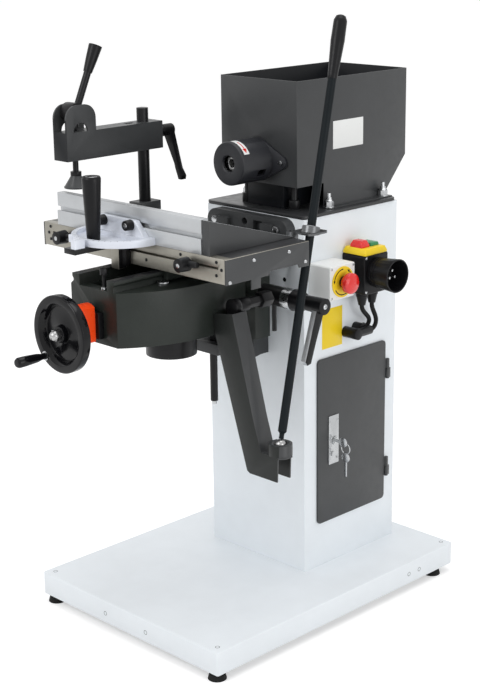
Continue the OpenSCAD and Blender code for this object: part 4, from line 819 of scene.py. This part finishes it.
@dataclass
class HeightDrive(Assembly):
    """The lead screw, the handwheel and its shaft.

    The thread's ridge is given as (radius beyond the crest, share of the pitch) pairs.
    """

    crest_r: float = 7.5
    pitch: float = 2.5
    ridge: Profile = ((-0.2, 0.0), (0.04, 0.3), (0.04, 0.5), (-0.2, 0.8))
    turn_steps: int = 20
    thread_z: Span = (434.0, 606.0)
    screw_at: Span = (0.0, 2.0)
    washer_at: Point = (-39, -374.4, 592)
    washer: Profile = ((0, 6.2), (0, 8.6), (1.2, 8.6), (1.2, 6.2))
    skins: Skins = (
        ("handwheel", (
            Softened("drive_shaft", Coat.STEEL, FINE),
            Softened("handwheel", Coat.GLOSS_BLACK, (Round(1.2, 3),)),
        )),
        ("wheel_handle", (Softened("wheel_handle", Coat.GLOSS_BLACK, (Round(0.8, 3),)),)),
        ("lead_screw", (
            Softened("lead_screw", Coat.OXIDE, FINE,
                     (Zone(Coat.ZINC, (-30, -30, 400), (30, 40, 434.4)),
                      Zone(Coat.STEEL, (-30, -30, 612), (30, 40, 700)))),
        )),
    )

    def details(self) -> None:
        """Adds the screw's thread, proud of its rod by less than the running gap, and a washer."""
        low, high = self.thread_z
        x, y = self.screw_at
        turns = int((high - low) / self.pitch)
        steps = self.turn_steps * turns
        shape = bmesh.new()
        verts = [shape.verts.new(at(x + (self.crest_r + beyond), y, low + self.pitch * share))
                 for beyond, share in self.ridge]
        edges = [shape.edges.new(pair) for pair in zip(verts, verts[1:])]
        bmesh.ops.spin(shape, geom=[*verts, *edges], cent=at(x, y, low), axis=UP,
                       dvec=Vector((0, 0, (high - low) / steps)) * MM,
                       angle=-math.tau * turns, steps=steps, use_merge=False)
        bmesh.ops.recalc_face_normals(shape, faces=shape.faces)
        self.shop.piece("screw_thread", shape, Coat.OXIDE, "lead_screw")
        washer = lathe(self.washer, self.washer_at, BACK, 24)
        self.shop.piece("handle_washer", washer, Coat.ZINC, "handwheel")


@dataclass
class Table(Assembly):
    """The carriage, the table and the stops on its front bar."""

    skins: Skins = (
        ("carriage", (Softened("carriage", Coat.KNEE_CAST, (Round(1.0),)),)),
        ("table", (
            Softened("table_top", Coat.DARK, (Round(0.8),)),
            Softened("front_bar", Coat.MILLED, (Round(0.6),)),
            Softened("end_plates", Coat.GREY, (Round(0.7),),
                     # Painted highlights: the plates' top edges take milled steel and the gusset's
                     # upward faces take aluminium, as light lines along the top edges.
                     (Zone(Coat.MILLED, (246.9, -204, 780.7), (250.1, 6, 781.4)),
                      Zone(Coat.MILLED, (-250.1, -204, 780.7), (-246.9, 6, 781.4)),
                      Zone(Coat.EXTRUDED, (150, -204, 781.6), (240, 6, 860), (0, 0, 1)))),
            Softened("table_screws", Coat.PANEL, FINE,
                     (Zone(Coat.ZINC, (250, -250, 700), (256, 50, 900)),
                      Zone(Coat.ZINC, (-256, -250, 700), (-250, 50, 900)))),
            Softened("table_blocks", Coat.GREY, (Round(0.8),),
                     (Zone(Coat.MILLED, (-30, -224, 700), (-8.1, -202, 800)),
                      # Painted shade: the faces behind the front bar's slot are black, standing in
                      # for the slot's dark inside.
                      Zone(Coat.BLACK, (-8, -217, 700), (6, -202, 800)))),
        )),
        ("bar_stop_left", (Softened("bar_stop_left", Coat.BLACK, (Round(0.8),),
                                    (Zone(Coat.ZINC, (-190, -237, 750), (-160, -235.2, 775)),)),)),
        ("bar_stop_right", (Softened("bar_stop_right", Coat.BLACK, (Round(0.8),),
                                     (Zone(Coat.ZINC, (150, -237, 750), (190, -235.2, 775)),)),)),
    )
    ring: Point = (224.0, 38.0, 794.0)
    lever_run: Point = (-45.0, 130.0, 368.0)
    collar: Profile = ((-9, 14.2), (-9, 16.6), (3.5, 16.6), (4.5, 15.8), (4.5, 14.4), (-9, 14.2))
    plate: Profile = ((-27, -20), (-22, -25), (17, -25), (23, -19), (23, 18), (17, 24),
                      (-22, 24), (-27, 19))
    plate_z: Span = (787.0, 790.5)
    plate_hole: float = 15.0
    lug: Corners = ((193.0, 5, 765.4), (204.0, 26.0, 790.4))

    def details(self) -> None:
        """Adds the lever's ring, its plate and the lug that holds the plate."""
        x, y, _ = self.ring
        low, high = self.plate_z
        outline = [(x + across, y + deep, low) for across, deep in self.plate]
        plate = holed_slab(outline, (x, y, low), self.plate_hole, (0, 0, high - low))
        collar = lathe(self.collar, self.ring, self.lever_run, 40)
        ring = together(plate, collar, box(*self.lug, 0.6))
        self.shop.piece("lever_ring", ring, Coat.PLATED, "table", ("lever_bush",))


@dataclass
class Gauge(Assembly):
    """The mitre bar, the half-moon gauge and the fence that it carries."""

    mark_centre: Point = (-18.0, -205.0, 794.1)
    knob_x: Span = (-53.0, 21.0)
    knob_face_y: float = -229.0
    knob_z: float = 813.1
    knob_cap: Profile = ((0, 4.6), (1.0, 4.2), (1.0, 0))
    handle: Point = (-26.0, -263.0, 901.4)
    recess: Profile = ((0.0, 11.0), (0.35, 10.6), (-0.3, 6.0), (-0.3, 0))
    mark_r: float = 89.0
    mark_turn: float = 7.5
    mark_long: float = 6.0
    mark_short: float = 3.5
    mark_half: float = 0.35
    skins: Skins = (
        ("gauge_bar", (Softened("mitre_bar", Coat.OXIDE, FINE,
                                (Zone(Coat.CAST_ALU, (-40, -400, 782), (40, 400, 900)),)),)),
        ("gauge", (
            Softened("gauge", Coat.CAST_ALU, (Round(1.0, 3),)),
            Softened("fence", Coat.EXTRUDED, FINE),
            Softened("gauge_knobs", Coat.BLACK, (Round(0.8, 3),)),
        )),
        ("gauge_handle", (Softened("gauge_handle", Coat.BLACK, (Round(0.9, 3),)),)),
    )

    def details(self) -> None:
        """Adds the knobs' metal centres, the handle's metal recess and the angle marks."""
        caps = [lathe(self.knob_cap, (x, self.knob_face_y, self.knob_z), FRONT, 20)
                for x in self.knob_x]
        self.shop.piece("knob_centres", together(*caps), Coat.ZINC, "gauge")
        recess = lathe(self.recess, self.handle, UP, 32)
        self.shop.piece("handle_recess", recess, Coat.ZINC, "gauge_handle")
        marks = []
        for step in range(-8, 9):
            a = math.radians(step * self.mark_turn)
            out = Vector((math.sin(a), -math.cos(a), 0))
            side = Vector((math.cos(a), math.sin(a), 0)) * self.mark_half
            root = Vector(self.mark_centre) + out * self.mark_r
            end = root - out * (self.mark_short if step % 2 else self.mark_long)
            corners = (root + side, end + side, end - side, root - side)
            marks.append(slab([tuple(corner) for corner in corners], (0, 0, 0.08)))
        self.shop.piece("angle_marks", together(*marks), Coat.PANEL, "gauge")


@dataclass
class HoldDown(Assembly):
    """The post, the arm and the cam that presses the plunger down."""

    skins: Skins = (
        ("hold_post", (Softened("hold_post", Coat.OXIDE, (Round(1.0, 3),)),)),
        ("hold_arm", (Softened("hold_arm", Coat.GREY, (Round(1.2, 3),),
                               (Zone(Coat.PANEL, (-209, -202.1, 902), (-167, -201.9, 957)),)),)),
        ("cam_lever", (Softened("cam_lever", Coat.OXIDE, (Round(0.8, 3),),
                                (Zone(Coat.BLACK, (-220, -135.5, 1061), (-150, 0, 1200)),)),)),
        ("plunger", (Softened("plunger", Coat.OXIDE, (Round(0.8, 3),),
                              (Zone(Coat.GREY, (-220, -200, 848), (-150, -140, 873)),)),)),
        ("arm_clamp", (Softened("arm_clamp", Coat.BLACK, (Round(2.2, 4),)),)),
    )


@dataclass
class Joystick(Assembly):
    """The ball and the long lever."""

    skins: Skins = (
        ("lever_ball", (Softened("lever_ball", Coat.STEEL, ()),)),
        ("lever", (Softened("lever", Coat.LEVER, FINE,
                            (Zone(Coat.BLACK, (-400, -400, 1053.2), (400, 400, 1200)),)),)),
    )


# ---------------------------------------------------------------- studio


@dataclass(frozen=True)
class Lamp:
    """A soft round lamp: its place and width in metres and its power in watts."""

    name: str
    place: Point
    power: float
    width: float


@dataclass
class Studio:
    """The floor, the light and the camera of the photograph, in metres and degrees."""

    camera_at: Point = (2.0304, -1.9490, 1.3576)
    azimuth: float = 45.4654
    elevation: float = 16.2532
    roll: float = -0.81396
    lens: float = 78.63
    sensor: float = 36.0
    floor_half: float = 30.0
    floor_tone: float = 0.80
    floor_roughness: float = 0.9
    floor_specular: float = 0.1
    floor_glow: float = 0.42
    ambient: float = 0.72
    aim: Point = (0, 0, 0.6)
    lamps: tuple[Lamp, ...] = (Lamp("key", (-0.4, -2.9, 2.6), 36.0, 1.8),
                               Lamp("fill", (3.1, -0.1, 1.1), 19.0, 1.8),
                               Lamp("top", (0.2, 0.4, 3.4), 27.0, 2.2))

    @staticmethod
    def seen(tree: Tree) -> bpy.types.NodeSocket:
        """Adds nodes that give 1 to rays from the camera, glossy or clear things, else 0."""
        path = tree.add("LightPath")
        direct = tree.math("MAXIMUM", path.outputs["Is Camera Ray"], path.outputs["Is Glossy Ray"])
        return tree.math("MAXIMUM", direct, path.outputs["Is Transmission Ray"])

    def camera(self) -> None:
        """Places the camera at the photograph's viewpoint."""
        a, e, r = (math.radians(v) for v in (self.azimuth, self.elevation, self.roll))
        back = Vector((math.sin(a) * math.cos(e), -math.cos(a) * math.cos(e), math.sin(e)))
        right = Vector((math.cos(a), math.sin(a), 0))
        up = back.cross(right)
        turned = right * math.cos(r) + up * math.sin(r)
        upright = up * math.cos(r) - right * math.sin(r)
        data = bpy.data.cameras.new("camera")
        data.lens = self.lens
        data.sensor_width = self.sensor
        data.sensor_fit = "AUTO"
        view = bpy.data.objects.new("camera", data)
        basis = Matrix((turned, upright, back)).transposed().to_4x4()
        view.matrix_world = Matrix.Translation(self.camera_at) @ basis
        bpy.context.scene.collection.objects.link(view)
        bpy.context.scene.camera = view

    def floor(self) -> None:
        """Lays the pale floor, which shows white apart from the object's shadow."""
        shape = bmesh.new()
        bmesh.ops.create_grid(shape, x_segments=2, y_segments=2, size=self.floor_half)
        mesh = bpy.data.meshes.new("floor")
        shape.to_mesh(mesh)
        shape.free()
        material = bpy.data.materials.new("floor")
        material.use_nodes = True
        tree = Tree(material.node_tree)
        shader = material.node_tree.nodes["Principled BSDF"]
        shader.inputs["Base Color"].default_value = (*[self.floor_tone] * 3, 1)
        shader.inputs["Roughness"].default_value = self.floor_roughness
        shader.inputs["Specular IOR Level"].default_value = self.floor_specular
        shader.inputs["Emission Color"].default_value = (1, 1, 1, 1)
        glow = tree.math("MULTIPLY", self.seen(tree), self.floor_glow)
        tree.join(glow, shader.inputs["Emission Strength"])
        mesh.materials.append(material)
        floor = bpy.data.objects.new("floor", mesh)
        bpy.context.scene.collection.objects.link(floor)

    def light(self) -> None:
        """Sets the world's pale light and the soft lamps."""
        world = bpy.data.worlds.new("studio")
        bpy.context.scene.world = world
        world.use_nodes = True
        tree = Tree(world.node_tree)
        sky = world.node_tree.nodes["Background"]
        lift = tree.math("MULTIPLY_ADD", self.seen(tree), 1.0 - self.ambient, self.ambient)
        sky.inputs["Color"].default_value = (1, 1, 1, 1)
        tree.join(lift, sky.inputs["Strength"])
        for lamp in self.lamps:
            data = bpy.data.lights.new(lamp.name, "AREA")
            data.energy = lamp.power
            data.shape = "DISK"
            data.size = lamp.width
            thing = bpy.data.objects.new(lamp.name, data)
            thing.location = lamp.place
            towards = Vector(self.aim) - Vector(lamp.place)
            thing.rotation_euler = towards.to_track_quat("-Z", "Y").to_euler()
            bpy.context.scene.collection.objects.link(thing)

    def build(self) -> None:
        """Builds the whole studio."""
        bpy.context.scene.view_settings.view_transform = "Standard"
        self.camera()
        self.floor()
        self.light()


def main() -> None:
    """Builds the machine around its frame."""
    logging.basicConfig(level=logging.INFO, format="%(name)s %(message)s")
    Studio().build()
    shop = Workshop()
    for kind in (Stand, Door, Column, MotorHead, Controls, Knee, HeightDrive, Table, Gauge,
                 HoldDown, Joystick):
        LOG.info("building %s", kind.__name__)
        kind(shop).build()


if __name__ == "__main__":
    main()
